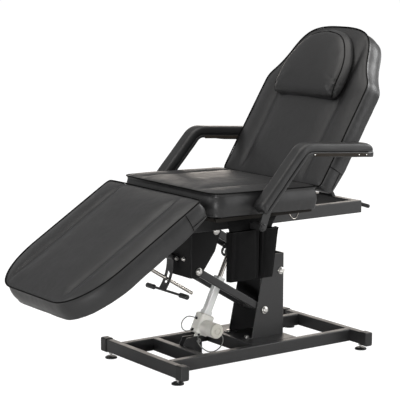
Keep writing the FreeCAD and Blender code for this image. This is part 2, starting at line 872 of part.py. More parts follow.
parts["actuator_tube"] = actuator_tube()

parts["actuator_rod"] = rod(
    on_actuator(actuator_rod_start), on_actuator(actuator_length - rod_head_radius), actuator_rod_radius)


def rod_head():
    half = clevis_tongue_wide / 2
    head = pin_x(-half, half, lug_pin_y, lug_pin_z, rod_head_radius)
    flat = rod(
        on_actuator(actuator_length - rod_head_radius * 1.4), on_actuator(actuator_length + rod_head_radius * 2),
        actuator_rod_radius * 3)
    head = head.common(flat)
    pin_half = lug_inner_x + lug_thick + plate_thick
    cross_pin = pin_x(-pin_half, pin_half, lug_pin_y, lug_pin_z, clevis_pin_radius)
    head = fuse_all([head, cross_pin])
    return head.cut(rod(
        on_actuator(actuator_rod_start), on_actuator(actuator_length - rod_head_radius), actuator_rod_radius))


parts["actuator_rod_head"] = rod_head()

# Two loose leads, each held by a gland at both ends


def gland(exit_point, next_point, housing):
    start, run = V(*exit_point), (V(*next_point) - V(*exit_point)).normalize()
    sleeve = rod(start - run * gland_radius, start + run * gland_length, gland_radius)
    sleeve = sleeve.cut(rod(start - run * gland_length, start + run * gland_length * 2, lead_radius + weld_gap))
    return sleeve.cut(housing)


parts["motor_loop_lead"] = smooth_tube(loop_lead_points, lead_radius)
parts["motor_hanging_lead"] = smooth_tube(hanging_lead_points, lead_radius)
parts["lead_glands"] = group([
    gland(loop_lead_points[0], loop_lead_points[1], parts["actuator_gearbox"]),
    gland(loop_lead_points[-1], loop_lead_points[-2], parts["actuator_gearbox"]),
    gland(hanging_lead_points[0], hanging_lead_points[1], parts["actuator_gearbox"]),
    gland(hanging_lead_points[-1], hanging_lead_points[-2], parts["actuator_motor"])])

# Seat carrier, a folded sheet channel under the seat frame


def carrier():
    low_z = carrier_low_z - carrier_foot
    rear_low_y = carrier_low_y + carrier_rear_reach
    rear_top_y = carrier_up_y + carrier_rear_reach
    mid_z = carrier_low_z + carrier_rear_reach
    outline = [
        (carrier_front_y, low_z), (carrier_low_y, low_z), (rear_low_y, carrier_low_z),
        (rear_top_y - link_offset_y / 3, mid_z + link_offset_z / 3), (rear_top_y, carrier_up_z),
        (rear_top_y, seat_rail_low_z), (carrier_front_y, seat_rail_low_z)]
    shell = side_plate(outline, -link_half, link_half)
    front = [
        edge for edge in shell.Edges
        if edge.BoundBox.YMax < carrier_front_y + fit_gap and edge.BoundBox.ZLength > link_offset_z / 2]
    shell = shell.makeFillet(sheet_thick * 2, front)
    inner = [
        (carrier_front_y + sheet_thick, low_z - overrun), (rear_top_y + overrun, low_z - overrun),
        (rear_top_y + overrun, seat_rail_low_z - sheet_thick),
        (carrier_front_y + sheet_thick, seat_rail_low_z - sheet_thick)]
    core = side_plate(inner, -link_inner, link_inner)
    core_front = [
        edge for edge in core.Edges
        if edge.BoundBox.YMax < carrier_front_y + sheet_thick + fit_gap
        and edge.BoundBox.ZLength > link_offset_z / 2]
    core = core.makeFillet(sheet_thick, core_front)
    shell = shell.cut(core)
    for y, z in ((carrier_low_y, carrier_low_z), (carrier_up_y, carrier_up_z)):
        shell = shell.cut(pin_x(-link_half - overrun, link_half + overrun, y, z, pivot_bolt_radius + weld_gap))
    return shell


parts["seat_carrier"] = carrier()
parts["carrier_bolts"] = group([
    pivot_bolt(link_half, carrier_low_y, carrier_low_z, pivot_bolt_radius),
    pivot_bolt(link_half, carrier_up_y, carrier_up_z, pivot_bolt_radius)])

# Seat frame

seat_tube_z = seat_rail_low_z + tube_height / 2
parts["seat_rails"] = group([
    tube_y(side * seat_rail_x, seat_frame_front_y, seat_frame_rear_y, seat_tube_z) for side in (1, -1)])
seat_cross_places = (
    seat_frame_front_y + tube_width / 2, seat_cross_front_y + tube_width / 2,
    seat_cross_rear_y - tube_width / 2, seat_frame_rear_y - tube_width / 2)
parts["seat_cross_tubes"] = group([
    tube_x(-seat_rail_inner_x, seat_rail_inner_x, y, seat_tube_z) for y in seat_cross_places])

parts["seat_board"] = block(
    -board_half, board_half, seat_front_y + board_inset, seat_rear_y - board_inset / 2,
    seat_rail_top_z, seat_board_top_z)


def seat_stations():
    start, end = seat_front_y, seat_rear_y
    half_corner = seat_corner / 2
    return [
        (start, cushion_half - seat_corner, 0.15),
        (start + seat_corner * 0.134, cushion_half - half_corner, 0.45),
        (start + half_corner, cushion_half - seat_corner * 0.134, 0.75),
        (start + seat_corner, cushion_half, 0.95),
        (start + 3 * seat_corner, cushion_half, 1.0),
        (end - 2 * seat_corner, cushion_half, 1.0),
        (end, cushion_half - side_draw, 0.6)]


seat_deep = seat_thick - fit_gap
seat_form = cushion_form(seat_stations(), seat_deep, cushion_crown, channel_depth, bolster_width)
seat_form.translate(V(0, 0, seat_board_top_z + seat_thick))
parts["seat_cushion"] = seat_form

# Backrest

back_outline_shares = [
    (0.0, 0.985, 0.5), (0.03, 1.0, 0.9), (0.3, 1.0, 1.0), (0.63, 1.0, 1.0), (0.66, 0.965, 1.0),
    (0.71, 0.867, 1.0), (0.78, 0.769, 1.0), (0.85, 0.706, 0.95), (0.908, 0.617, 0.9), (0.95, 0.506, 0.75),
    (0.979, 0.34, 0.5), (1.0, 0.16, 0.2)]


def back_stations():
    return [(place * back_length, wide * cushion_half, full) for place, wide, full in back_outline_shares]


back_deep = back_thick - board_thick - fit_gap
back_form = cushion_form(back_stations(), back_deep, cushion_crown, channel_depth, bolster_width)
parts["back_cushion"] = tilt_to(back_form, back_foot_y, back_foot_z, back_angle)


def outline_board(shares, length, half, inset, thick, deep):
    right = []
    for place, wide, _ in shares:
        y = min(max(place * length, inset), length - inset)
        right.append(V(max(wide * half - inset, inset), y, -deep))
    points = right + [V(-point.x, point.y, point.z) for point in right[::-1]]
    return Part.Face(Part.makePolygon(points + points[:1])).extrude(V(0, 0, -thick))


back_board = outline_board(
    back_outline_shares[1:], back_length, cushion_half, board_inset, board_thick, back_thick - board_thick)
parts["back_board"] = tilt_to(back_board, back_foot_y, back_foot_z, back_angle)

back_frame_half = seat_rail_inner_x - frame_stock
back_frame_start = 24.0
back_frame_end_share = 0.8
back_cross_start = 130.0
back_frame_deep = back_thick + frame_stock / 2


def frame_bar(place, x, start, end):
    first, last = place(start, -back_frame_deep), place(end, -back_frame_deep)
    return bar_stock(
        V(x, *first), V(x, *last), frame_stock, frame_stock, tube_wall, tube_corner / 2, V(1, 0, 0))


def frame_cross(place, along, half, deep, angle):
    y, z = place(along, -deep)
    turn = math.radians(angle)
    return bar_stock(
        V(-half, y, z), V(half, y, z), frame_stock, frame_stock, tube_wall, tube_corner / 2,
        V(0, math.cos(turn), math.sin(turn)))


back_frame_end = back_length * back_frame_end_share
back_cross_half = back_frame_half - frame_stock / 2
parts["back_frame"] = group([
    frame_bar(on_back, back_frame_half, back_frame_start, back_frame_end),
    frame_bar(on_back, -back_frame_half, back_frame_start, back_frame_end),
    frame_cross(on_back, back_cross_start, back_cross_half, back_frame_deep, back_angle),
    frame_cross(on_back, back_frame_end - frame_stock / 2, back_cross_half, back_frame_deep, back_angle)])


def hinge_ears(y, z, foot_z, half_x):
    ears = []
    for side in (-1, 1):
        x0, x1 = sorted((side * half_x, side * (half_x + plate_thick)))
        foot = [
            (y - hinge_ear_round, z), (y - hinge_ear_round, foot_z), (y + hinge_ear_round, foot_z),
            (y + hinge_ear_round, z)]
        ear = fuse_all([side_plate(foot, x0, x1), pin_x(x0, x1, y, z, hinge_ear_round)])
        ears.append(ear.cut(pin_x(x0 - overrun, x1 + overrun, y, z, hinge_pin_radius + weld_gap)))
    return ears


back_ear_x = seat_rail_inner_x + plate_thick
seat_brackets = hinge_ears(back_hinge_y, back_hinge_z, seat_rail_top_z, back_ear_x)
back_pin_tip = back_ear_x + 2 * plate_thick
parts["back_hinge_pin"] = turned_x(
    [(-back_pin_tip, hinge_tube_radius), (-back_ear_x - plate_thick, hinge_tube_radius),
     (-back_ear_x - plate_thick, hinge_pin_radius), (back_ear_x + plate_thick, hinge_pin_radius),
     (back_ear_x + plate_thick, hinge_tube_radius), (back_pin_tip, hinge_tube_radius)],
    back_hinge_y, back_hinge_z)


def back_hinge_tube():
    half = back_ear_x - arm_play
    y, z = back_hinge_y, back_hinge_z
    pieces = [pin_x(-half, half, y, z, hinge_tube_radius)]
    for side in (-1, 1):
        x0, x1 = sorted((
            side * (back_frame_half - frame_stock / 2 - weld_gap),
            side * (back_frame_half - frame_stock / 2 - weld_gap - plate_thick)))
        knee = on_back(back_frame_start / 4, -back_frame_deep - tube_wall)
        top = on_back(back_frame_start + 2 * frame_stock, -back_frame_deep - tube_wall)
        pieces.append(link_plate(x0, x1, (y, z), knee, hinge_tube_radius))
        pieces.append(link_plate(x0, x1, knee, top, hinge_tube_radius))
    crank_half = spring_rod_radius + arm_play
    for side in (-1, 1):
        x0, x1 = sorted((side * crank_half, side * (crank_half + plate_thick)))
        pieces.append(link_plate(x0, x1, (y, z), (spring_lug_y, spring_lug_z), hinge_tube_radius))
        pieces.append(pin_x(x0, x1, spring_lug_y, spring_lug_z, spring_lug_radius))
    tube = fuse_all(pieces)
    tube = tube.cut(pin_x(-half - overrun, half + overrun, y, z, hinge_pin_radius + running_gap))
    window = pin_x(
        -crank_half - plate_thick - overrun, crank_half + plate_thick + overrun,
        spring_lug_y + spring_window_along, spring_lug_z + spring_window_across, spring_window_radius)
    return tube.cut(window)


parts["back_hinge_tube"] = back_hinge_tube()

# Gas spring under the seat that holds the backrest

spring_run = V(0, spring_lug_y - spring_anchor_y, spring_lug_z - spring_anchor_z)
spring_length = spring_run.Length
spring_axis = V(spring_run).normalize()
spring_anchor = V(0, spring_anchor_y, spring_anchor_z)


def on_spring(run):
    return spring_anchor + spring_axis * run


def spring_eye(centre, half, radius, pin):
    eye = pin_x(-half, half, centre.y, centre.z, radius)
    return eye.cut(pin_x(-half - overrun, half + overrun, centre.y, centre.z, pin))


def gas_spring_body():
    barrel = rod(on_spring(spring_eye_radius * 1.2), on_spring(spring_body_length), spring_body_radius)
    eye = pin_x(-spring_rod_radius, spring_rod_radius, spring_anchor.y, spring_anchor.z, spring_eye_radius)
    neck = rod(on_spring(0), on_spring(spring_eye_radius * 1.2 + overrun), spring_rod_radius * 0.8)
    body = fuse_all([barrel, eye, neck])
    body = body.cut(pin_x(
        -spring_eye_radius, spring_eye_radius, spring_anchor.y, spring_anchor.z, spring_pin_radius + running_gap))
    bore = rod(
        on_spring(spring_eye_radius + spring_rod_radius), on_spring(spring_body_length + overrun),
        spring_rod_radius + running_gap)
    return body.cut(bore)


parts["gas_spring_body"] = gas_spring_body()


def gas_spring_rod():
    start = spring_body_length / 2
    shank = rod(on_spring(start), on_spring(spring_length), spring_rod_radius)
    centre = on_spring(spring_length)
    eye = pin_x(-spring_rod_radius, spring_rod_radius, centre.y, centre.z, spring_eye_radius)
    half = spring_rod_radius + arm_play + plate_thick + plate_thick / 2
    pin = pin_x(-half, half, centre.y, centre.z, spring_pin_radius)
    return fuse_all([shank, eye, pin])


parts["gas_spring_rod"] = gas_spring_rod()


def spring_anchor_bracket():
    half = spring_rod_radius + arm_play
    low_z = spring_anchor_z - spring_eye_radius - plate_thick
    rear_y = spring_anchor_y + spring_eye_radius
    front_y = seat_cross_rear_y + weld_gap
    outline = [(front_y, seat_rail_low_z + overrun), (rear_y, low_z), (rear_y, spring_anchor_z + spring_eye_radius),
               (front_y, spring_anchor_z + spring_eye_radius)]
    pieces = []
    for side in (-1, 1):
        x0, x1 = sorted((side * half, side * (half + plate_thick)))
        pieces.append(side_plate(outline, x0, x1))
    pieces.append(block(
        -half - plate_thick, half + plate_thick, front_y, front_y + plate_thick,
        seat_rail_low_z + overrun, spring_anchor_z + spring_eye_radius))
    bracket = fuse_all(pieces)
    pin = pin_x(-half - plate_thick, half + plate_thick, spring_anchor_y, spring_anchor_z, spring_pin_radius)
    return fuse_all([bracket, pin])


seat_brackets.append(spring_anchor_bracket())

# Leg rest


def leg_stations():
    rows = [(0.0, cushion_half - side_draw, 0.5), (-seat_corner / 2, cushion_half, 0.9)]
    fills = ((0.9, 1.0), (0.6, 1.0), (0.4, 1.0), (0.22, 0.95), (0.1, 0.8), (0.03, 0.5), (0.0, 0.2))
    for share, full in fills:
        back_off = 1 - share
        half = cushion_half - leg_corner_wide * (1 - math.sqrt(1 - back_off ** 2))
        rows.append((-leg_length + share * leg_corner_long, half, full))
    return rows[::-1]


leg_deep = leg_thick - board_thick - fit_gap
leg_form = cushion_form(leg_stations(), leg_deep, cushion_crown, channel_depth, bolster_width)
parts["leg_cushion"] = tilt_to(leg_form, leg_head_y, leg_head_z, leg_angle)


def leg_board():
    right = []
    for place, half, _ in leg_stations():
        y = max(min(place, -board_inset), -leg_length + board_inset)
        right.append(V(half - board_inset, y, -leg_thick + board_thick))
    right = [point for index, point in enumerate(right) if index == 0 or point.y > right[index - 1].y + fit_gap]
    points = right + [V(-point.x, point.y, point.z) for point in right[::-1]]
    board = Part.Face(Part.makePolygon(points + points[:1])).extrude(V(0, 0, -board_thick))
    return tilt_to(board, leg_head_y, leg_head_z, leg_angle)


parts["leg_board"] = leg_board()

leg_frame_half = seat_rail_inner_x - frame_stock - plate_thick
leg_frame_start = 46.0
leg_frame_end_share = 0.72
leg_frame_end = leg_length * leg_frame_end_share
leg_frame_deep = leg_thick + frame_stock / 2


def leg_bar(x):
    first, last = on_leg(leg_frame_start, -leg_frame_deep), on_leg(leg_frame_end, -leg_frame_deep)
    return bar_stock(V(x, *first), V(x, *last), frame_stock, frame_stock, tube_wall, tube_corner / 2, V(1, 0, 0))


stay_local_along = (leg_head_y - stay_pivot_y) * math.cos(math.radians(leg_angle)) \
    + (leg_head_z - stay_pivot_z) * math.sin(math.radians(leg_angle))
stay_cross_along = stay_local_along + frame_stock / 2 + stay_radius + 2 * plate_thick + arm_play
leg_cross_half = leg_frame_half - frame_stock / 2
leg_cross_places = (leg_frame_start + frame_stock / 2, stay_cross_along, leg_frame_end - frame_stock / 2)
parts["leg_frame"] = group([leg_bar(leg_frame_half), leg_bar(-leg_frame_half)] + [
    frame_cross(on_leg, along, leg_cross_half, leg_frame_deep, leg_angle) for along in leg_cross_places])


def leg_hinge_leaves():
    leaves = []
    for side in (-1, 1):
        x0, x1 = sorted((
            side * (leg_frame_half + frame_stock / 2 + weld_gap),
            side * (leg_frame_half + frame_stock / 2 + weld_gap + plate_thick)))
        foot = on_leg(leg_frame_start + 2 * frame_stock, -leg_frame_deep)
        leaf = link_plate(x0, x1, (leg_hinge_y, leg_hinge_z), foot, leg_leaf_radius)
        leaves.append(leaf.cut(pin_x(
            x0 - overrun, x1 + overrun, leg_hinge_y, leg_hinge_z, leg_pin_radius + running_gap)))
    return leaves


def leg_hinge_ears():
    ears = []
    inner = leg_frame_half + frame_stock / 2 + weld_gap + plate_thick + arm_play / 2
    radius = hinge_tube_radius
    for side in (-1, 1):
        x0, x1 = sorted((side * inner, side * (inner + plate_thick)))
        web = [
            (leg_hinge_y - radius, leg_hinge_z), (seat_frame_front_y, seat_rail_low_z + tube_height / 2),
            (seat_frame_front_y + tube_width, seat_rail_top_z), (leg_hinge_y + radius, leg_hinge_z)]
        ear = fuse_all([side_plate(web, x0, x1), pin_x(x0, x1, leg_hinge_y, leg_hinge_z, radius)])
        ear = ear.cut(block(
            x0 - overrun, x1 + overrun, seat_frame_front_y, seat_frame_front_y + tube_width * 2,
            seat_rail_low_z, seat_rail_top_z))
        pin0, pin1 = sorted((side * (inner - plate_thick - arm_play), side * (inner + plate_thick)))
        ears.append(fuse_all([ear, pin_x(pin0, pin1, leg_hinge_y, leg_hinge_z, leg_pin_radius)]))
    return ears


seat_brackets += leg_hinge_ears()

# Leg rest stay, a chrome rod that slides through the release lever

stay_axis = V(0, -math.cos(stay_rad), math.sin(stay_rad))
stay_tail = V(stay_x, stay_tail_y, stay_tail_z)
stay_eye_radius = stay_radius + plate_thick


def leg_stay():
    end = stay_tail + stay_axis * stay_length
    shank = rod(stay_tail, end - stay_axis * stay_eye_radius / 2, stay_radius)
    eye = pin_x(stay_x - stay_radius, stay_x + stay_radius, end.y, end.z, stay_eye_radius)
    body = fuse_all([shank, eye])
    return body.cut(pin_x(
        stay_x - 2 * stay_radius, stay_x + 2 * stay_radius, end.y, end.z, hinge_pin_radius + running_gap))


parts["leg_stay_rod"] = leg_stay()


def stay_lug():
    inner = stay_radius + arm_play / 2
    foot = on_leg(stay_cross_along - frame_stock / 2, -leg_frame_deep)
    pieces = []
    for side in (-1, 1):
        x0, x1 = sorted((stay_x + side * inner, stay_x + side * (inner + plate_thick)))
        pieces.append(link_plate(x0, x1, (stay_pivot_y, stay_pivot_z), foot, stay_eye_radius))
    pieces.append(pin_x(
        stay_x - inner - plate_thick, stay_x + inner + plate_thick, stay_pivot_y, stay_pivot_z, hinge_pin_radius))
    lug = fuse_all(pieces)
    middle = on_leg(stay_cross_along, -leg_frame_deep)
    turn = math.radians(leg_angle)
    trim = bar_stock(
        V(stay_x - lever_wide, *middle), V(stay_x + lever_wide, *middle), frame_stock + 2 * weld_gap,
        frame_stock + 2 * weld_gap, 0, tube_corner / 2, V(0, math.cos(turn), math.sin(turn)))
    return lug.cut(trim)


parts["leg_frame_lugs"] = group(leg_hinge_leaves() + [stay_lug()])


def release_lever():
    side = V(1, 0, 0) * (lever_wide / 2)
    path = [V(0, lever_pivot_y, lever_pivot_z), V(0, lever_bend_y, lever_bend_z), V(0, lever_foot_y, lever_foot_z)]
    front = Part.Arc(path[0], path[1], path[2]).toShape()
    chord = (path[2] - path[0]).normalize()
    normal = V(0, chord.z, -chord.y) * lever_thick
    rear = front.copy()
    rear.translate(normal)
    caps = [
        Part.LineSegment(path[0], path[0] + normal).toShape(),
        Part.LineSegment(path[2], path[2] + normal).toShape()]
    face = Part.Face(Part.Wire(Part.__sortEdges__([front, caps[1], rear, caps[0]])))
    face.translate(V(stay_x, 0, 0) - side)
    blade = face.extrude(side * 2)
    slot = block(
        stay_x - stay_radius - arm_play, stay_x + stay_radius + arm_play,
        stay_guide_y - lever_wide, stay_guide_y + lever_wide,
        stay_guide_z - lever_slot_low, stay_guide_z + lever_slot_high)
    blade = blade.cut(slot)
    eye = pin_x(
        stay_x - lever_wide / 2, stay_x + lever_wide / 2, lever_pivot_y, lever_pivot_z,
        clevis_pin_radius + sheet_thick)
    lever = fuse_all([blade, eye])
    return lever.cut(pin_x(
        stay_x - lever_wide, stay_x + lever_wide, lever_pivot_y, lever_pivot_z, clevis_pin_radius + running_gap))


bar_y = lever_foot_y
bar_z = lever_foot_z - lever_bar_radius
bar_left = stay_x + lever_bar_near
bar_right = stay_x - lever_bar_far
parts["leg_release_lever"] = fuse_all([
    release_lever(), pin_x(bar_right, bar_left, bar_y, bar_z, lever_bar_radius)])


def lever_grip(x0, x1):
    grip = pin_x(x0, x1, bar_y, bar_z, lever_grip_radius)
    grip = grip.makeChamfer(lever_grip_radius / 2, [edge for edge in grip.Edges if edge.Length > lever_grip_radius * 6])
    inner0, inner1 = (x0 - overrun, x1 - lever_bar_radius) if x0 > stay_x else (x0 + lever_bar_radius, x1 + overrun)
    return grip.cut(pin_x(inner0, inner1, bar_y, bar_z, lever_bar_radius + weld_gap))


parts["leg_release_grips"] = group([
    lever_grip(bar_left + lever_bar_radius - lever_grip_length, bar_left + lever_bar_radius),
    lever_grip(bar_right - lever_bar_radius, bar_right - lever_bar_radius + lever_grip_length)])


def lever_bracket():
    inner = lever_wide / 2 + arm_play / 2
    round_end = clevis_pin_radius + sheet_thick
    pieces = []
    for side in (-1, 1):
        x0, x1 = sorted((stay_x + side * inner, stay_x + side * (inner + plate_thick)))
        foot = [
            (lever_pivot_y, lever_pivot_z - round_end), (carrier_front_y - weld_gap, lever_pivot_z - 2 * round_end),
            (carrier_front_y - weld_gap, lever_pivot_z + 2 * round_end), (lever_pivot_y, lever_pivot_z + round_end)]
        pieces.append(fuse_all([side_plate(foot, x0, x1), pin_x(x0, x1, lever_pivot_y, lever_pivot_z, round_end)]))
    tip = inner + 2 * plate_thick
    pin = pin_x(stay_x - tip, stay_x + tip, lever_pivot_y, lever_pivot_z, clevis_pin_radius)
    nut = pin_x(
        stay_x + inner + plate_thick, stay_x + tip, lever_pivot_y, lever_pivot_z, clevis_pin_radius * 1.6)
    return fuse_all(pieces + [pin, nut])


seat_brackets.append(lever_bracket())

# Armrests


def arm_centre_points():
    diagonal = math.radians(arm_diagonal_angle)
    level = math.radians(-arm_level_drop)
    foot = V(0, arm_foot_y, arm_foot_z)
    corner = foot + V(0, math.cos(diagonal), math.sin(diagonal)) * arm_diagonal_length
    tip = corner + V(0, math.cos(level), math.sin(level)) * arm_level_length
    return foot, corner, tip


def arm_band(low, high, x0, x1, shorten):
    foot, corner, tip = arm_centre_points()
    first = (corner - foot).normalize()
    second = (tip - corner).normalize()
    up_first = V(0, -first.z, first.y)
    up_second = V(0, -second.z, second.y)
    turn = first.getAngle(second)
    setback = arm_bend_radius * math.tan(turn / 2)
    into = corner - first * setback
    out = corner + second * setback
    centre = into - up_first * arm_bend_radius
    bisector = (up_first + up_second).normalize()
    start = foot + first * shorten
    end = tip - second * shorten

    def at(point, up, height):
        return point + up * height

    outer = arm_bend_radius + high
    inner = arm_bend_radius + low
    edges = [
        Part.LineSegment(at(start, up_first, low), at(start, up_first, high)).toShape(),
        Part.LineSegment(at(start, up_first, high), at(into, up_first, high)).toShape(),
        arc_through(at(into, up_first, high), centre + bisector * outer, at(out, up_second, high)),
        Part.LineSegment(at(out, up_second, high), at(end, up_second, high)).toShape(),
        Part.LineSegment(at(end, up_second, high), at(end, up_second, low)).toShape(),
        Part.LineSegment(at(end, up_second, low), at(out, up_second, low)).toShape(),
        arc_through(at(out, up_second, low), centre + bisector * inner, at(into, up_first, low)),
        Part.LineSegment(at(into, up_first, low), at(start, up_first, low)).toShape()]
    face = Part.Face(Part.Wire(edges))
    face.translate(V(x0, 0, 0))
    return face.extrude(V(x1 - x0, 0, 0))


arm_half_thick = (arm_pad_thick + arm_board_thick) / 2
pad_low = arm_half_thick - arm_pad_thick
pad_round_share = 0.45


def arm_pad():
    x0, x1 = arm_pad_inner_x, arm_pad_inner_x + arm_pad_wide
    pad = arm_band(pad_low, arm_half_thick, x0, x1, 0)
    foot, corner, tip = arm_centre_points()
    first = (corner - foot).normalize()
    second = (tip - corner).normalize()
    soft = []
    for edge in pad.Edges:
        box = edge.BoundBox
        if box.XLength > arm_pad_wide / 2:
            middle = edge.CenterOfMass
            at_foot = (middle - foot).dot(first) < fit_gap
            at_tip = (middle - tip).dot(second) > -fit_gap
            if at_foot or at_tip:
                soft.append(edge)
    pad = pad.makeFillet(arm_pad_thick * 0.32, soft)
    rim = []
    for edge in pad.Edges:
        middle = edge.CenterOfMass
        box = edge.BoundBox
        on_side = box.XLength < fit_gap
        upper = (middle - foot).dot(V(0, -first.z, first.y)) > pad_low + arm_pad_thick * 0.2
        if (middle - corner).dot(second) > 0:
            upper = (middle - tip).dot(V(0, -second.z, second.y)) > pad_low + arm_pad_thick * 0.2
        if on_side and upper:
            rim.append(edge)
    return pad.makeFillet(arm_pad_thick * 0.28, rim)


arm_strap_x = arm_pad_inner_x + (arm_pad_wide - arm_strap_thick) / 2


def arm_strap():
    foot, corner, tip = arm_centre_points()
    first = (corner - foot).normalize()
    down = V(0, first.z, -first.y)
    seat = foot + first * arm_strap_wide + down * arm_half_thick
    x0, x1 = arm_strap_x, arm_strap_x + arm_strap_thick
    upright = link_plate(x0, x1, (arm_pivot_y, arm_pivot_z), (seat.y, seat.z), arm_strap_wide / 2)
    trim = arm_band(
        -arm_half_thick + arm_board_thick / 2, arm_half_thick * 4, x0 - overrun, x1 + overrun, -arm_strap_wide)
    return upright.cut(trim)


arm_posts = []
for side, name in ((1, "left"), (-1, "right")):
    pad = arm_pad()
    board = arm_band(
        -arm_half_thick, -arm_half_thick + arm_board_thick - fit_gap,
        arm_pad_inner_x + board_inset / 4, arm_pad_inner_x + arm_pad_wide - board_inset / 4, board_inset / 4)
    frame = fuse_all([board, arm_strap()]).cut(pin_x(
        arm_strap_x - overrun, arm_strap_x + arm_strap_thick + overrun, arm_pivot_y, arm_pivot_z,
        arm_pivot_radius + running_gap))
    socket_end = arm_strap_x - arm_play / 2
    post = bar_stock(
        V(seat_rail_outer_x, arm_pivot_y, arm_pivot_z), V(socket_end, arm_pivot_y, arm_pivot_z),
        frame_stock, frame_stock, 0, tube_corner / 2, V(0, 1, 0))
    spindle = turned_x(
        [(socket_end, arm_pivot_radius), (arm_strap_x + arm_strap_thick + arm_play / 2, arm_pivot_radius),
         (arm_strap_x + arm_strap_thick + arm_play / 2, washer_radius),
         (arm_strap_x + arm_strap_thick + arm_play / 2 + washer_thick, washer_radius),
         (arm_strap_x + arm_strap_thick + arm_play / 2 + washer_thick, bolt_head_radius),
         (arm_strap_x + arm_strap_thick + arm_play / 2 + washer_thick + bolt_head_height, bolt_head_radius * 0.7)],
        arm_pivot_y, arm_pivot_z)
    post = fuse_all([post, spindle])
    if side < 0:
        pad, frame, post = [shape.mirror(V(0, 0, 0), V(1, 0, 0)) for shape in (pad, frame, post)]
    parts["arm_pad_" + name] = pad
    parts["arm_frame_" + name] = frame
    arm_posts.append(post)
parts["arm_posts"] = group(arm_posts)

# Head pillow, a half-round pad on the backrest

pillow_outline_shares = [
    (0.0, 0.93, 0.2), (0.03, 0.97, 0.6), (0.12, 0.99, 0.9), (0.36, 1.0, 1.0), (0.57, 0.93, 1.0),
    (0.70, 0.84, 0.95), (0.79, 0.75, 0.85), (0.90, 0.57, 0.6), (0.97, 0.33, 0.3), (1.0, 0.14, 0.1)]


def head_pillow():
    wires = []
    panel_half = cushion_half - bolster_width
    rise = cushion_crown + channel_depth / 2
    fall = rise - cushion_crown + channel_depth
    for place, wide, full in pillow_outline_shares:
        half = wide * pillow_width / 2
        foot = half * 0.94
        station = pillow_low + place * pillow_height
        seat = rise + fit_gap
        low = max(cushion_crown + fit_gap * 2, seat - fall * (foot / panel_half) ** 2)
        top = seat + pillow_thick * (0.3 + 0.7 * full)
        waist = low + (top - seat) * 0.45
        side = (low + waist) / 2
        wires.append(Part.Wire([
            arc_through(V(-foot, station, low), V(0, station, seat), V(foot, station, low)),
            arc_through(V(foot, station, low), V(half * 0.985, station, side), V(half, station, waist)),
            arc_through(V(half, station, waist), V(0, station, top), V(-half, station, waist)),
            arc_through(V(-half, station, waist), V(-half * 0.985, station, side), V(-foot, station, low))]))
    form = Part.makeLoft(wires, True, True)
    return tilt_to(form, back_foot_y, back_foot_z, back_angle)


parts["head_pillow"] = head_pillow()

# Side bag with two pouches


def bag_pouch(y0, y1, low_z, top_z):
    x0 = bag_back_x
    lean = bag_foot_depth
    taper = bag_wall * 2

    def outline(grow, z, depth):
        return Part.makePolygon([
            V(x0, y0 + grow, z), V(x0 + depth - grow, y0 + grow + taper, z),
            V(x0 + depth - grow, y1 - grow - taper, z), V(x0, y1 - grow, z), V(x0, y0 + grow, z)])

    outer = Part.makeLoft([outline(0, low_z, lean), outline(0, top_z, bag_depth)], True, True)
    inner = Part.makeLoft(
        [outline(bag_wall, low_z + bag_wall, lean), outline(bag_wall, top_z + overrun, bag_depth)], True, True)
    return outer.cut(inner)


bag_notch_y = arm_pivot_y - frame_stock / 2 - bag_post_clear
bag_strap = side_plate([
    (bag_rear_y - bag_strap_wide, bag_mouth_z - bag_strap_wide), (bag_rear_y, bag_mouth_z - bag_strap_wide),
    (bag_rear_y, bag_mouth_z), (bag_rear_y + bag_strap_lean, seat_rail_top_z),
    (bag_rear_y + bag_strap_lean - bag_strap_wide, seat_rail_top_z),
    (bag_rear_y - bag_strap_wide, bag_mouth_z)], bag_panel_x, bag_back_x)
parts["bag_panel"] = fuse_all([
    bag_strap,
    block(bag_panel_x, bag_back_x, bag_front_y, bag_rear_y, bag_low_z, bag_mouth_z),
    block(bag_panel_x, bag_back_x, bag_front_y, bag_notch_y, bag_mouth_z, seat_rail_top_z),
    block(
        bag_back_x, bag_back_x + bag_wall * 2, bag_front_y, bag_notch_y,
        seat_rail_top_z - bag_flap_drop, seat_rail_top_z)])
parts["bag_pouches"] = group([
    bag_pouch(bag_front_y, bag_split_y - fit_gap, bag_low_z, bag_mouth_z),
    bag_pouch(bag_split_y + fit_gap, bag_rear_y, bag_low_z, bag_mouth_z)])
# Rear stop for the lowered backrest, release lever and hanger loop


def rear_stop():
    y = seat_frame_rear_y - tube_width / 2
    half = stop_wide / 2
    z = seat_rail_top_z
    edges = [
        Part.LineSegment(V(-half, 0, z), V(half, 0, z)).toShape(),
        arc_through(V(half, 0, z), V(0, 0, z + stop_rise), V(-half, 0, z))]
    face = Part.Face(Part.Wire(edges))
    face.translate(V(0, y - stop_thick / 2, 0))
    return face.extrude(V(0, stop_thick, 0))


parts["back_rest_stop"] = rear_stop()

lever_base = V(back_lever_x, seat_frame_rear_y, seat_rail_top_z - tube_width / 2)
lever_tip = lever_base + V(tube_width, back_lever_grip_length, -back_lever_drop)
lever_start = lever_base + V(0, back_lever_rod_radius * 2, 0)
lever_run = (lever_tip - lever_start).normalize()


def back_lever():
    shaft_start = lever_start
    hub = pin_x(
        back_lever_x - back_lever_grip_radius, back_lever_x + back_lever_grip_radius, lever_start.y, lever_start.z,
        back_lever_rod_radius * 1.8)
    arm = rod(shaft_start, lever_tip - lever_run * back_lever_grip_radius, back_lever_rod_radius)
    lever = fuse_all([hub, arm])
    return lever.cut(pin_x(
        back_lever_x - tube_width, back_lever_x + tube_width, lever_start.y, lever_start.z,
        back_lever_rod_radius * 0.8 + running_gap))


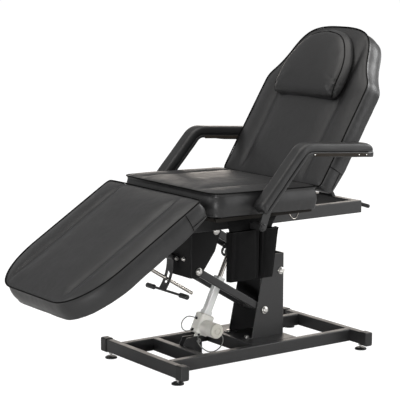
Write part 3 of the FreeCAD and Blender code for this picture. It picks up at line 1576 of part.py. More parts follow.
def back_lever_grip():
    start = lever_start + lever_run * (back_lever_rod_radius * 3)
    grip = rod(start, lever_tip, back_lever_grip_radius)
    grip = grip.makeChamfer(
        back_lever_grip_radius * 0.45, [edge for edge in grip.Edges if edge.Length > back_lever_grip_radius * 6])
    return grip.cut(rod(
        start - lever_run * overrun, lever_tip - lever_run * back_lever_grip_radius, back_lever_rod_radius + weld_gap))


def back_lever_bracket():
    inner = back_lever_grip_radius + arm_play / 2
    radius = back_lever_rod_radius * 1.8
    ears = []
    for side in (-1, 1):
        x0, x1 = sorted((back_lever_x + side * inner, back_lever_x + side * (inner + tube_wall)))
        plate = block(x0, x1, seat_frame_rear_y, lever_start.y, lever_start.z - radius, lever_start.z + radius)
        ears.append(fuse_all([plate, pin_x(x0, x1, lever_start.y, lever_start.z, radius)]))
    pin = pin_x(
        back_lever_x - inner - tube_wall, back_lever_x + inner + tube_wall, lever_start.y, lever_start.z,
        back_lever_rod_radius * 0.8)
    return fuse_all(ears + [pin])


parts["back_release_lever"] = back_lever()
parts["back_release_grip"] = back_lever_grip()
seat_brackets.append(back_lever_bracket())
parts["seat_brackets"] = group(seat_brackets)


def hanger_loop():
    x = seat_rail_outer_x + hanger_wire_radius + weld_gap
    top_z = seat_rail_top_z - tube_corner * 2
    half = hanger_width / 2
    turns = ((-1.0, 0.0), (-0.62, 0.55), (-0.05, 1.0), (0.5, 0.9), (0.78, 0.45), (1.0, 0.0))
    return smooth_tube(
        [(x, hanger_y + half * across, top_z - hanger_drop * drop) for across, drop in turns], hanger_wire_radius)


parts["hanger_loop"] = hanger_loop()

for name, shape in parts.items():
    if not shape.isValid():
        print("not valid:", name)
    shape.exportStep("parts/" + name + ".step")
print(len(parts), "parts")
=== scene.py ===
import json
import math

import bpy
import numpy as np
from mathutils import Matrix, Vector, noise


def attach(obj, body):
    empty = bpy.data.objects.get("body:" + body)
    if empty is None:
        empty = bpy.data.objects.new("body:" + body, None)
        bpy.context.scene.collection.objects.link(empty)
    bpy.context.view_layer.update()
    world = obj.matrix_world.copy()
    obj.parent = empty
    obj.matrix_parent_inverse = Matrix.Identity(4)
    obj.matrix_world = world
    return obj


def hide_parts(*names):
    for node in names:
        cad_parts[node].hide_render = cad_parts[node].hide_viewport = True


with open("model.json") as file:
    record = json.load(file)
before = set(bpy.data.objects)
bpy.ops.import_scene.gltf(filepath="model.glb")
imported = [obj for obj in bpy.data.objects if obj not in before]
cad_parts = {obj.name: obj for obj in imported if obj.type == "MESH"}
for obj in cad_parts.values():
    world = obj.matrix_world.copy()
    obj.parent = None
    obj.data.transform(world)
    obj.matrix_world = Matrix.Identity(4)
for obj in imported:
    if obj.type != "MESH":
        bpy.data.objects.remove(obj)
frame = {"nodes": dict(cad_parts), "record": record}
bpy.ops.object.select_all(action="DESELECT")
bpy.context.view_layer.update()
scene = bpy.context.scene
nodes = frame["nodes"]
mm = 0.001


# Camera at the photograph's place: lens and sensor in millimetres, angles in degrees

sensor_width, focal_length = 36.0, 138.04
camera_azimuth, camera_drop, camera_roll = 54.513, 9.053, 0.11
camera_place = (4.82359, -3.62626, 1.58929)


def set_camera():
    data = bpy.data.cameras.new("camera")
    data.sensor_width = sensor_width
    data.lens = focal_length
    data.clip_end = 60.0
    camera = bpy.data.objects.new("camera", data)
    scene.collection.objects.link(camera)
    turn, tilt, roll = map(math.radians, (camera_azimuth, camera_drop, camera_roll))
    back = Vector((
        math.sin(turn) * math.cos(tilt), -math.cos(turn) * math.cos(tilt), math.sin(tilt)))
    right = Vector((math.cos(turn), math.sin(turn), 0.0))
    up = back.cross(right)
    across = right * math.cos(roll) + up * math.sin(roll)
    upward = up * math.cos(roll) - right * math.sin(roll)
    rows = list(zip(across, upward, back, camera_place))
    camera.matrix_world = Matrix(rows + [(0.0, 0.0, 0.0, 1.0)])
    scene.camera = camera


set_camera()


# The two loose leads of the motor

lead_radius = 2.2 * mm
point_radius = 0.01


def motor_lead(name, node, points):
    curve = bpy.data.curves.new(name, "CURVE")
    curve.dimensions = "3D"
    curve.resolution_u = 12
    # Blender widens a curve's box by its points' radius: it is small, and the bevel makes up for it
    curve.bevel_depth = lead_radius / point_radius
    curve.bevel_resolution = 5
    curve.use_fill_caps = True
    line = curve.splines.new("NURBS")
    line.points.add(len(points) - 1)
    for point, (x, y, z) in zip(line.points, points):
        point.co = (x * mm, y * mm, z * mm, 1.0)
        point.radius = point_radius
    line.order_u = 3
    line.use_endpoint_u = True
    lead = bpy.data.objects.new(name, curve)
    scene.collection.objects.link(lead)
    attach(lead, "actuator")
    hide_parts(node)
    return lead


loop_points = [
    (-4.0, -199.2, 172.6), (-6.0, -220.0, 182.8), (-9.0, -244.0, 185.5), (-11.0, -264.0, 171.0),
    (-10.0, -270.5, 150.5), (-7.0, -262.0, 132.0), (-5.0, -239.5, 124.8), (-4.0, -219.4, 130.4)]
hanging_points = [
    (23.0, -208.3, 115.1), (26.5, -217.5, 97.5), (27.5, -212.5, 76.0), (31.0, -192.0, 53.0),
    (37.0, -168.0, 38.0), (45.5, -143.0, 40.0), (52.5, -122.0, 56.0), (57.0, -114.0, 79.0),
    (60.0, -118.0, 99.0), (61.0, -136.0, 115.5), (61.5, -154.2, 124.5)]
loop_lead = motor_lead("loop_lead", "motor_loop_lead", loop_points)
hanging_lead = motor_lead("hanging_lead", "motor_hanging_lead", hanging_points)


# Shared shading groups

def new_group(name, inputs, outputs):
    group = bpy.data.node_groups.new(name, "ShaderNodeTree")
    for label, kind, value in inputs:
        socket = group.interface.new_socket(name=label, in_out="INPUT", socket_type=kind)
        if value is not None:
            socket.default_value = value
    for label, kind in outputs:
        group.interface.new_socket(name=label, in_out="OUTPUT", socket_type=kind)
    return group, group.nodes.new("NodeGroupInput"), group.nodes.new("NodeGroupOutput")


def add_node(tree, kind, **settings):
    node = tree.nodes.new(kind)
    for key, value in settings.items():
        setattr(node, key, value)
    return node


def math_node(tree, operation, *values):
    node = add_node(tree, "ShaderNodeMath", operation=operation)
    for socket, value in zip(node.inputs, values):
        if isinstance(value, float):
            socket.default_value = value
        else:
            tree.links.new(value, socket)
    return node.outputs[0]


def noise_node(tree, vector, scale, detail=3.0, roughness=0.5):
    node = add_node(tree, "ShaderNodeTexNoise")
    tree.links.new(vector, node.inputs["Vector"])
    node.inputs["Scale"].default_value = scale
    node.inputs["Detail"].default_value = detail
    node.inputs["Roughness"].default_value = roughness
    return node.outputs["Fac"]


pebble_scale = 620.0
full_turn_mm = 6283.2  # two pi, over a thread's width in millimetres


def build_hide_group():
    group, start, end = new_group(
        "hide_grain",
        [("Place", "NodeSocketVector", None)],
        [("Height", "NodeSocketFloat"), ("Tone", "NodeSocketFloat"),
         ("Sheen Mask", "NodeSocketFloat")])
    place = start.outputs["Place"]
    cells = add_node(group, "ShaderNodeTexVoronoi", feature="SMOOTH_F1")
    group.links.new(place, cells.inputs["Vector"])
    cells.inputs["Scale"].default_value = pebble_scale
    fine = math_node(group, "MULTIPLY", noise_node(group, place, 900.0, 2.0), 0.25)
    pebble = math_node(group, "MULTIPLY_ADD", cells.outputs["Distance"], 0.75, fine)
    group.links.new(pebble, end.inputs["Height"])
    drift = noise_node(group, place, 7.0, 3.0, 0.6)
    group.links.new(drift, end.inputs["Tone"])
    rubbed = noise_node(group, place, 22.0, 4.0, 0.65)
    group.links.new(rubbed, end.inputs["Sheen Mask"])
    return group


def build_coat_group():
    group, start, end = new_group(
        "powder_coat",
        [("Place", "NodeSocketVector", None)],
        [("Height", "NodeSocketFloat"), ("Tone", "NodeSocketFloat")])
    place = start.outputs["Place"]
    group.links.new(noise_node(group, place, 520.0, 2.0), end.inputs["Height"])
    group.links.new(noise_node(group, place, 11.0, 4.0, 0.6), end.inputs["Tone"])
    return group


def build_cloth_group():
    group, start, end = new_group(
        "plain_weave",
        [("Place", "NodeSocketVector", None), ("Thread", "NodeSocketFloat", 1.1)],
        [("Height", "NodeSocketFloat"), ("Tone", "NodeSocketFloat")])
    place = start.outputs["Place"]
    split = add_node(group, "ShaderNodeSeparateXYZ")
    group.links.new(place, split.inputs[0])
    pitch = math_node(group, "DIVIDE", full_turn_mm, start.outputs["Thread"])
    along = math_node(group, "SINE", math_node(group, "MULTIPLY", split.outputs["Y"], pitch))
    upward = math_node(group, "SINE", math_node(group, "MULTIPLY", split.outputs["Z"], pitch))
    threads = math_node(group, "MULTIPLY", along, upward)
    group.links.new(math_node(group, "MULTIPLY_ADD", threads, 0.5, 0.5), end.inputs["Height"])
    group.links.new(noise_node(group, place, 34.0, 4.0, 0.6), end.inputs["Tone"])
    return group


hide_group = build_hide_group()
coat_group = build_coat_group()
cloth_group = build_cloth_group()


# Finishes

woven_gloss = 0.14


def new_finish(name, gloss=0.5):
    finish = bpy.data.materials.new(name)
    finish.use_nodes = True
    tree = finish.node_tree
    shader = tree.nodes["Principled BSDF"]
    shader.inputs["Specular IOR Level"].default_value = gloss
    place = add_node(tree, "ShaderNodeTexCoord").outputs["Object"]
    return finish, tree, shader, place


def place_group(tree, group, place, **values):
    node = add_node(tree, "ShaderNodeGroup", node_tree=group)
    tree.links.new(place, node.inputs["Place"])
    for label, value in values.items():
        node.inputs[label].default_value = value
    return node


def tint(tree, shader, mask, dark, light):
    ramp = add_node(tree, "ShaderNodeMix", data_type="RGBA")
    ramp.inputs["A"].default_value = (*dark, 1.0)
    ramp.inputs["B"].default_value = (*light, 1.0)
    tree.links.new(mask, ramp.inputs["Factor"])
    tree.links.new(ramp.outputs["Result"], shader.inputs["Base Color"])


def vary_roughness(tree, shader, mask, low, high):
    node = add_node(tree, "ShaderNodeMapRange")
    tree.links.new(mask, node.inputs["Value"])
    node.inputs["From Min"].default_value = 0.3
    node.inputs["From Max"].default_value = 0.7
    node.inputs["To Min"].default_value = low
    node.inputs["To Max"].default_value = high
    tree.links.new(node.outputs["Result"], shader.inputs["Roughness"])


def raise_surface(tree, shader, height, strength, distance, under=None):
    bump = add_node(tree, "ShaderNodeBump")
    bump.inputs["Strength"].default_value = strength
    bump.inputs["Distance"].default_value = distance
    tree.links.new(height, bump.inputs["Height"])
    if under is not None:
        tree.links.new(under, bump.inputs["Normal"])
    tree.links.new(bump.outputs["Normal"], shader.inputs["Normal"])


def soft_edges(tree, radius):
    node = add_node(tree, "ShaderNodeBevel", samples=4)
    node.inputs["Radius"].default_value = radius
    return node.outputs["Normal"]


def leather_finish(name, dark, light, rough, gloss):
    finish, tree, shader, place = new_finish(name, gloss)
    grain = place_group(tree, hide_group, place)
    tint(tree, shader, grain.outputs["Tone"], dark, light)
    vary_roughness(tree, shader, grain.outputs["Sheen Mask"], rough - 0.05, rough + 0.05)
    raise_surface(tree, shader, grain.outputs["Height"], 0.22, 0.0004)
    return finish


def steel_coat_finish(name, dark, light, rough, gloss):
    finish, tree, shader, place = new_finish(name, gloss)
    coat = place_group(tree, coat_group, place)
    tint(tree, shader, coat.outputs["Tone"], dark, light)
    vary_roughness(tree, shader, coat.outputs["Tone"], rough - 0.05, rough + 0.06)
    raise_surface(tree, shader, coat.outputs["Height"], 0.12, 0.0003, soft_edges(tree, 0.0012))
    return finish


def metal_finish(name, dark, light, rough, metallic, scratch, stretch):
    finish, tree, shader, place = new_finish(name)
    turned = add_node(tree, "ShaderNodeMapping")
    turned.inputs["Scale"].default_value = stretch
    tree.links.new(place, turned.inputs["Vector"])
    streaks = noise_node(tree, turned.outputs["Vector"], 60.0, 6.0, 0.7)
    clouds = noise_node(tree, place, 26.0, 3.0)
    tint(tree, shader, clouds, dark, light)
    vary_roughness(tree, shader, streaks, rough - 0.05, rough + 0.08)
    raise_surface(tree, shader, streaks, scratch, 0.0002, soft_edges(tree, 0.0008))
    shader.inputs["Metallic"].default_value = metallic
    return finish


def moulded_finish(name, dark, light, rough, gloss=0.5, speckle=700.0, strength=0.15):
    finish, tree, shader, place = new_finish(name, gloss)
    clouds = noise_node(tree, place, 18.0, 4.0, 0.6)
    tint(tree, shader, clouds, dark, light)
    spark = noise_node(tree, place, speckle, 2.0)
    vary_roughness(tree, shader, clouds, rough - 0.04, rough + 0.06)
    raise_surface(tree, shader, spark, strength, 0.0003, soft_edges(tree, 0.0008))
    return finish


def woven_finish(name, dark, light, thread, rough):
    finish, tree, shader, place = new_finish(name, woven_gloss)
    weave = place_group(tree, cloth_group, place, Thread=thread)
    tint(tree, shader, weave.outputs["Tone"], dark, light)
    raise_surface(tree, shader, weave.outputs["Height"], 0.35, 0.0004)
    shader.inputs["Roughness"].default_value = rough
    return finish


black_leather = leather_finish(
    "black_leather", (0.0105, 0.0105, 0.011), (0.0165, 0.0165, 0.017), 0.43, 0.42)
# Near-black, low-gloss leather for the welts, boxing joins and arm seams: painted shade of the
# crevices along the seams, which are the same black vinyl as the cover
seam_shade_leather = leather_finish(
    "seam_shade_leather", (0.0012, 0.0012, 0.0012), (0.0026, 0.0026, 0.0026), 0.6, 0.08)
black_paint = steel_coat_finish(
    "black_paint", (0.0120, 0.0120, 0.0125), (0.0180, 0.0180, 0.0185), 0.40, 0.45)
# Darker, less glossy copy of the black paint: painted shade for the seat carrier, its brackets and
# the legrest frame, which sit in the shadow of the cushions
shaded_black_paint = steel_coat_finish(
    "shaded_black_paint", (0.0018, 0.0018, 0.0019), (0.0060, 0.0060, 0.0062), 0.6, 0.17)
bright_steel = metal_finish(
    "bright_steel", (0.46, 0.45, 0.43), (0.66, 0.65, 0.63), 0.3, 1.0, 0.1, (1.0, 1.0, 1.0))
chrome = metal_finish(
    "chrome", (0.66, 0.62, 0.57), (0.78, 0.74, 0.69), 0.13, 1.0, 0.05, (1.0, 0.1, 0.1))
cast_alloy = moulded_finish(
    "cast_alloy", (0.50, 0.49, 0.455), (0.62, 0.61, 0.575), 0.45, 0.5, 260.0, 0.3)
drawn_alloy = metal_finish(
    "drawn_alloy", (0.58, 0.59, 0.58), (0.72, 0.73, 0.72), 0.36, 0.6, 0.1, (1.0, 0.12, 0.06))
cream_plastic = moulded_finish("cream_plastic", (0.38, 0.37, 0.33), (0.45, 0.44, 0.39), 0.42)
black_plastic = moulded_finish(
    "black_plastic", (0.008, 0.008, 0.008), (0.014, 0.014, 0.014), 0.45, 0.4)
dark_board = moulded_finish(
    "dark_board", (0.008, 0.007, 0.006), (0.016, 0.014, 0.012), 0.85, 0.2, 420.0, 0.5)
bare_board = moulded_finish(
    "bare_board", (0.010, 0.008, 0.006), (0.034, 0.027, 0.020), 0.8, 0.25, 420.0, 0.5)
bag_cloth = woven_finish("bag_cloth", (0.0013, 0.0013, 0.0014), (0.0032, 0.0032, 0.0034), 1.3, 0.9)
bag_tape = woven_finish("bag_tape", (0.004, 0.004, 0.004), (0.007, 0.007, 0.007), 0.9, 0.7)
stop_rubber = moulded_finish(
    "stop_rubber", (0.006, 0.006, 0.006), (0.011, 0.011, 0.011), 0.65, 0.3, 500.0, 0.25)
grey_lead = moulded_finish("grey_lead", (0.13, 0.13, 0.12), (0.19, 0.19, 0.18), 0.5)

slot_finishes = {
    "black_paint": black_paint, "bright_steel": bright_steel, "chrome": chrome,
    "grey_alloy": cast_alloy, "cream_plastic": cream_plastic, "black_plastic": black_plastic,
    "black_leather": black_leather, "dark_board": dark_board, "bag_fabric": bag_cloth,
    "stop_rubber": stop_rubber, "grey_lead": grey_lead}
# The seat carrier, its brackets and the legrest frame take the shaded copy of the black paint:
# painted shade
own_finishes = {
    "actuator_tube": drawn_alloy, "seat_carrier": shaded_black_paint, "seat_brackets": shaded_black_paint,
    "leg_frame": shaded_black_paint, "leg_frame_lugs": shaded_black_paint}


def give_finish(piece, finish):
    if piece.material_slots:
        for slot in piece.material_slots:
            slot.material = finish
    else:
        piece.data.materials.append(finish)


def dress(piece, finish, body):
    piece.data.materials.clear()
    piece.data.materials.append(finish)
    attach(piece, body)


# Upholstery, drawn flat: x across, s along, height above the sewn edge

def chaikin(points, rounds):
    for _ in range(rounds):
        cut = [points[0]]
        for (x0, s0), (x1, s1) in zip(points, points[1:]):
            cut.append((0.75 * x0 + 0.25 * x1, 0.75 * s0 + 0.25 * s1))
            cut.append((0.25 * x0 + 0.75 * x1, 0.25 * s0 + 0.75 * s1))
        cut.append(points[-1])
        points = cut
    return points


def evenly(points, count):
    line = np.array(points, float)
    steps = np.concatenate([[0.0], np.cumsum(np.linalg.norm(np.diff(line, axis=0), axis=1))])
    wanted = np.linspace(0.0, steps[-1], count)
    return np.stack([np.interp(wanted, steps, line[:, axis]) for axis in range(line.shape[1])], -1)


def panel_grid(right_half, across, along):
    line = evenly(chaikin(right_half, 3), 400)
    run = np.diff(line, axis=0)
    steep = np.nonzero(np.abs(run[:, 1]) > np.abs(run[:, 0]))[0]
    first, last = steep[0], steep[-1] + 1
    mirror = np.array([-1.0, 1.0])
    low = evenly(np.concatenate([(line[:first + 1] * mirror)[::-1], line[1:first + 1]]), across + 1)
    high = evenly(np.concatenate([line[last:] * mirror, line[last:][::-1][1:]]), across + 1)
    right = evenly(line[first:last + 1], along + 1)
    return patch(low, high, right * mirror, right)


def patch(low, high, left, right):
    u = np.linspace(0.0, 1.0, len(low))[None, :, None]
    v = np.linspace(0.0, 1.0, len(left))[:, None, None]
    ruled = (1 - v) * low[None] + v * high[None] + (1 - u) * left[:, None] + u * right[:, None]
    low_corners = (1 - u) * (1 - v) * low[0] + u * (1 - v) * low[-1]
    return ruled - (low_corners + (1 - u) * v * high[0] + u * v * high[-1])


def rim_of(grid):
    rows, columns = grid.shape[:2]
    keys = [(0, c) for c in range(columns)] + [(r, columns - 1) for r in range(1, rows)]
    keys += [(rows - 1, c) for c in range(columns - 2, -1, -1)]
    return keys + [(r, 0) for r in range(rows - 2, 0, -1)]


def rim_normals(rim):
    ahead = np.roll(rim, -1, axis=0) - np.roll(rim, 1, axis=0)
    ahead /= np.linalg.norm(ahead, axis=1)[:, None]
    return np.stack([ahead[:, 1], -ahead[:, 0]], -1)


def distance_to_rim(grid, rim):
    start, end = rim, np.roll(rim, -1, axis=0)
    run = end - start
    flat = grid.reshape(-1, 2)
    offset = flat[:, None, :] - start[None]
    share = np.clip((offset * run[None]).sum(-1) / (run ** 2).sum(-1)[None], 0.0, 1.0)
    gap = np.linalg.norm(offset - share[..., None] * run[None], axis=-1)
    return gap.min(axis=1).reshape(grid.shape[:2])


def ease(value):
    value = np.clip(value, 0.0, 1.0)
    return value * value * (3 - 2 * value)


def dome(share):
    share = np.clip(share, 0.0, 1.0)
    return np.sqrt(1 - (1 - share) ** 2)


def mesh_piece(name, points, faces):
    mesh = bpy.data.meshes.new(name)
    mesh.from_pydata([tuple(point) for point in points], [], faces)
    mesh.validate()
    piece = bpy.data.objects.new(name, mesh)
    scene.collection.objects.link(piece)
    return piece


def active_only(piece):
    bpy.ops.object.select_all(action="DESELECT")
    piece.select_set(True)
    bpy.context.view_layer.objects.active = piece


def smooth_shading(piece):
    piece.data.polygons.foreach_set("use_smooth", [True] * len(piece.data.polygons))
    piece.data.update()


def points_of(piece):
    co = np.zeros(len(piece.data.vertices) * 3)
    piece.data.vertices.foreach_get("co", co)
    return co.reshape(-1, 3)


def put_points(piece, points):
    piece.data.vertices.foreach_set("co", np.asarray(points, float).ravel())
    piece.data.update()


cloth_steps = 20


def inflate(piece, sewn, cap, pressure):
    """Blows the cover up as cloth. Sewn is each point's hold, and cap how far a point may move."""
    rest = points_of(piece)
    group = piece.vertex_groups.new(name="sewn")
    for index, weight in enumerate(sewn):
        group.add([index], float(weight), "REPLACE")
    cloth = piece.modifiers.new("Cloth", "CLOTH")
    settings = cloth.settings
    settings.quality = 4
    settings.mass = 0.35
    settings.tension_stiffness = 12
    settings.compression_stiffness = 12
    settings.shear_stiffness = 6
    settings.bending_stiffness = 0.6
    settings.use_pressure = True
    settings.uniform_pressure_force = pressure
    settings.effector_weights.gravity = 0.0
    settings.vertex_group_mass = "sewn"
    settings.pin_stiffness = 1.0
    for step in range(1, cloth_steps + 1):
        scene.frame_set(step)
    active_only(piece)
    bpy.ops.object.modifier_apply(modifier=cloth.name)
    scene.frame_set(1)
    moved = points_of(piece) - rest
    far = np.linalg.norm(moved, axis=1)
    held = np.where(far > 1e-9, cap * np.tanh(far / cap) / np.maximum(far, 1e-9), 1.0)
    put_points(piece, rest + moved * held[:, None])
    piece.vertex_groups.clear()


def subdivide_once(piece):
    active_only(piece)
    modifier = piece.modifiers.new("Subdivision", "SUBSURF")
    modifier.levels = 1
    modifier.render_levels = 1
    bpy.ops.object.modifier_apply(modifier=modifier.name)
    smooth_shading(piece)


def crumple(piece, amount, size, seed, mask=None):
    points = points_of(piece)
    normals = np.zeros(len(points) * 3)
    piece.data.vertices.foreach_get("normal", normals)
    normals = normals.reshape(-1, 3)
    place = Vector((seed, 0, 0))
    shift = np.array([noise.noise(Vector(point / size) + place) for point in points]) * amount
    if mask is not None:
        shift *= mask(points)
    put_points(piece, points + normals * shift[:, None])


def sewn_line(name, points, radius, closed, finish, body):
    curve = bpy.data.curves.new(name, "CURVE")
    curve.dimensions = "3D"
    curve.bevel_depth = radius
    curve.bevel_resolution = 2
    curve.use_fill_caps = not closed
    line = curve.splines.new("POLY")
    line.points.add(len(points) - 1)
    for spot, point in zip(line.points, points):
        spot.co = (*point, 1.0)
    line.use_cyclic_u = closed
    piece = bpy.data.objects.new(name, curve)
    scene.collection.objects.link(piece)
    active_only(piece)
    bpy.ops.object.convert(target="MESH")
    piece = bpy.context.view_layer.objects.active
    smooth_shading(piece)
    dress(piece, finish, body)


def sewn_shell(name, grid, lift, walls, place):
    """A closed form: the top panel, a ring for each wall row, and a flat foot panel."""
    rows, columns = grid.shape[:2]
    flat = grid.reshape(-1, 2)
    points = [place(x, s, h) for (x, s), h in zip(flat, lift.ravel())]
    faces = []
    for r in range(rows - 1):
        for c in range(columns - 1):
            a = r * columns + c
            faces.append((a, a + 1, a + columns + 1, a + columns))
    keys = rim_of(grid)
    rim = np.array([grid[key] for key in keys])
    outward = rim_normals(rim)
    ring = [r * columns + c for r, c in keys]
    count = len(ring)
    top_lift = np.array([lift[key] for key in keys])
    for row in walls:
        inset, height = row(top_lift)
        start = len(points)
        spots = rim - outward * np.asarray(inset).reshape(-1, 1)
        heights = np.broadcast_to(height, (count,))
        points += [place(x, s, h) for (x, s), h in zip(spots, heights)]
        lower = list(range(start, start + count))
        for i in range(count):
            j = (i + 1) % count
            faces.append((ring[i], lower[i], lower[j], ring[j]))
        ring = lower
    turn = columns + rows - 2
    foot = patch(
        spots[:columns], spots[turn:turn + columns][::-1],
        np.concatenate([spots[turn + columns - 1:], spots[:1]])[::-1],
        spots[columns - 1:columns - 1 + rows])
    index = dict(zip(keys, ring))
    for r in range(1, rows - 1):
        for c in range(1, columns - 1):
            index[(r, c)] = len(points)
            points.append(place(foot[r, c, 0], foot[r, c, 1], float(heights[0])))
    for r in range(rows - 1):
        for c in range(columns - 1):
            faces.append((
                index[(r, c)], index[(r + 1, c)], index[(r + 1, c + 1)], index[(r, c + 1)]))
    return mesh_piece(name, points, faces), rim, outward


def tilted(foot_y, foot_z, angle):
    turn = math.radians(angle)

    def place(x, s, h):
        return (
            x,
            foot_y + s * math.cos(turn) - h * math.sin(turn),
            foot_z + s * math.sin(turn) + h * math.cos(turn))

    return place


half_width = 0.316
bolster = 0.118
gutter = half_width - bolster
gutter_dip, gutter_wide = 0.0098, 0.0145
edge_round = 0.072
welt_radius = 0.0028
boxing_in, boxing_belly = 0.0036, 0.0062
below_welt = 0.0035
cover_gap = 0.0004
held_edge, freed_over = 0.004, 0.03
pad_reach, pad_pressure = 0.005, 3.2
back_y, back_z, back_angle = 0.158, 0.706, 58.3
back_turn = math.radians(back_angle)
on_seat = tilted(0.0, 0.71998, 0.0)
on_back = tilted(back_y, back_z, back_angle)
on_leg = tilted(-0.405, 0.705, 32.0)


def cushion_height(grid, rim, crown):
    gap = distance_to_rim(grid, rim)
    x = np.abs(grid[..., 0])
    height = crown * (1 - (1 - np.clip(gap / edge_round, 0.0, 1.0)) ** 2)
    height -= 0.0013 * np.exp(-((gap - 0.0045) / 0.003) ** 2)
    height += 0.004 * np.clip(1 - (x / gutter) ** 2, 0.0, 1.0) * ease(gap / 0.09)
    valley = np.exp(-((x - gutter) / gutter_wide) ** 2)
    height -= gutter_dip * valley * ease(gap / 0.07)
    return height, gap


def make_cushion(name, node, body, right_half, across, along, place, sizes, seed, slope, depth):
    """A boxed cushion: sizes are its thickness with the board, the board and the crown. Slope is
    how far the welt lies off the sewing plane, and depth how far the cover reaches down."""
    thick, board, crown = sizes
    grid = panel_grid(right_half, across, along)
    rim = np.array([grid[key] for key in rim_of(grid)])
    height, gap = cushion_height(grid, rim, crown)
    height += slope(grid[..., 1])
    welt_lift = slope(rim[:, 1])
    low = depth(rim[:, 1])
    above = -(thick - board)

    def row(inset, share, drop=0.0):
        return lambda top: (inset, (welt_lift - below_welt) * (1 - share) - low * share - drop)

    rows = [row(boxing_in / 2, 0.0), row(boxing_in, 0.09)]
    steps = max(4, round(thick / 0.010))
    for step in range(1, steps + 1):
        share = step / steps
        inset = boxing_in - boxing_belly * math.sin(math.pi * min(1.0, share * 1.05))
        rows.append(row(inset, 0.09 + 0.85 * share))
    rows += [
        row(0.0030, 0.985), row(0.0065, 1.0, 0.0008), row(0.0110, 1.0, 0.0006),
        lambda top: (0.0165, np.maximum(-low, -thick) * 0.7 - low * 0.3 + 0.0006),
        lambda top: (0.0213, np.maximum(-low - cover_gap, -thick - cover_gap)),
        lambda top: (0.0217, above + cover_gap), lambda top: (0.034, above + 0.0006)]
    piece, rim, outward = sewn_shell(name, grid, height, rows, place)
    panel = grid.shape[0] * grid.shape[1]
    sewn = np.ones(len(piece.data.vertices))
    loose = ease((gap.ravel() - held_edge) / freed_over)
    near_gutter = np.exp(-((np.abs(grid[..., 0]).ravel() - gutter) / 0.012) ** 2)
    sewn[:panel] = np.clip(1 - loose * (1 - 0.85 * near_gutter), 0.02, 1.0)
    count = len(rim)
    for index in range(2, 2 + steps):
        sewn[panel + index * count:panel + (index + 1) * count] = 0.5
    inflate(piece, sewn, pad_reach, pad_pressure)
    subdivide_once(piece)
    crumple(piece, 0.0012, 0.075, seed)
    crumple(piece, 0.0004, 0.02, seed + 5.0)
    finish_soft(piece, body, node)
    edge = [place(x, s, h) for (x, s), h in zip(rim + outward * 0.0009, welt_lift + 0.0006)]
    # The welt takes the near-black seam leather: painted shade along the piping
    sewn_line(name + "_welt", edge, welt_radius, True, seam_shade_leather, body)


def finish_soft(piece, body, node):
    dress(piece, black_leather, body)
    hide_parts(node)


def seat_outline():
    return [
        (0.0, -0.346), (0.262, -0.346), (0.281, -0.344), (0.300, -0.335), (0.3095, -0.320),
        (0.316, -0.296), (0.316, -0.2), (0.316, 0.0), (0.316, 0.13), (0.313, 0.143), (0.304, 0.146),
        (0.0, 0.146)]


def back_outline():
    shares = [
        (0.03, 1.0), (0.3, 1.0), (0.6, 1.0), (0.632, 0.992), (0.66, 0.965), (0.71, 0.868),
        (0.78, 0.78), (0.85, 0.722), (0.90, 0.665), (0.938, 0.59), (0.963, 0.5), (0.981, 0.36),
        (0.989, 0.2)]
    line = [(0.0, 0.0), (0.292, 0.0), (0.311, 0.004)]
    line += [(wide * half_width, place * 0.705) for place, wide in shares]
    return line + [(0.02, 0.698), (0.0, 0.698)]


def leg_outline():
    line = [(0.0, -0.640), (0.15, -0.640)]
    for step in range(1, 12):
        turn = math.radians(90.0 * step / 12)
        line.append((0.156 + 0.160 * math.sin(turn), -0.410 - 0.230 * math.cos(turn)))
    return line + [
        (0.316, -0.410), (0.316, -0.3), (0.316, -0.1), (0.316, -0.026), (0.3125, -0.006),
        (0.302, 0.0), (0.0, 0.0)]


def no_slope(s):
    return 0.0 * s


make_cushion(
    "seat_pad", "seat_cushion", "seat", seat_outline(), 76, 60, on_seat, (0.110, 0.014, 0.0125),
    1.0, lambda s: -0.021 * (s + 0.346), lambda s: 0.088 + 0.018 * (s + 0.346))
make_cushion(
    "back_pad", "back_cushion", "backrest", back_outline(), 76, 84, on_back,
    (0.073, 0.014, 0.0110), 2.0, no_slope, lambda s: 0.073 + 0.011 * ease(s / 0.12))
make_cushion(
    "leg_pad", "leg_cushion", "legrest", leg_outline(), 76, 76, on_leg, (0.072, 0.014, 0.0120),
    3.0, no_slope, lambda s: 0.072 + 0.014 * ease(-s / 0.15))


# Joins in the boxing of the legrest and the backrest, by their hinge ends

join_depth = 0.074
join_radius = 0.0011


def boxing_join(name, place, body, at, lap):
    for side, end in ((1.0, "near"), (-1.0, "far")):
        upright = [
            (at, -0.004 - join_depth * t, -0.0022 + 0.0054 * math.sin(math.pi * t))
            for t in np.linspace(0.0, 1.0, 14)]
        level = [
            (at * (0.97 - 0.80 * t), -lap, 0.0014 - 0.001 * t) for t in np.linspace(0.0, 1.0, 12)]
        for label, spots in (("upright", upright), ("level", level)):
            line = [place(side * (half_width + out), s, h) for s, h, out in spots]
            # Near-black seam leather: painted shade in the join's crease
            sewn_line(
                "_".join((name, label, end)), line, join_radius, False, seam_shade_leather, body)


boxing_join("leg_join", on_leg, "legrest", -0.086, 0.062)
boxing_join("back_join", on_back, "backrest", 0.091, 0.060)


# Head pillow: a piped front panel, a boxed side, and a soft roll along its lower edge

pillow_run = 0.356 + 0.007
pillow_half, pillow_long = 0.184, 0.284
pillow_foot = 0.0142
pillow_crown, crown_over = 0.0175, 0.062
pillow_flare, pillow_belly = 0.020, 0.006
pillow_welt = 0.0024
seam_low, seam_rise, seam_over = 0.0190, 0.0290, 0.072
fold_up, fold_reach = 0.03, 0.075


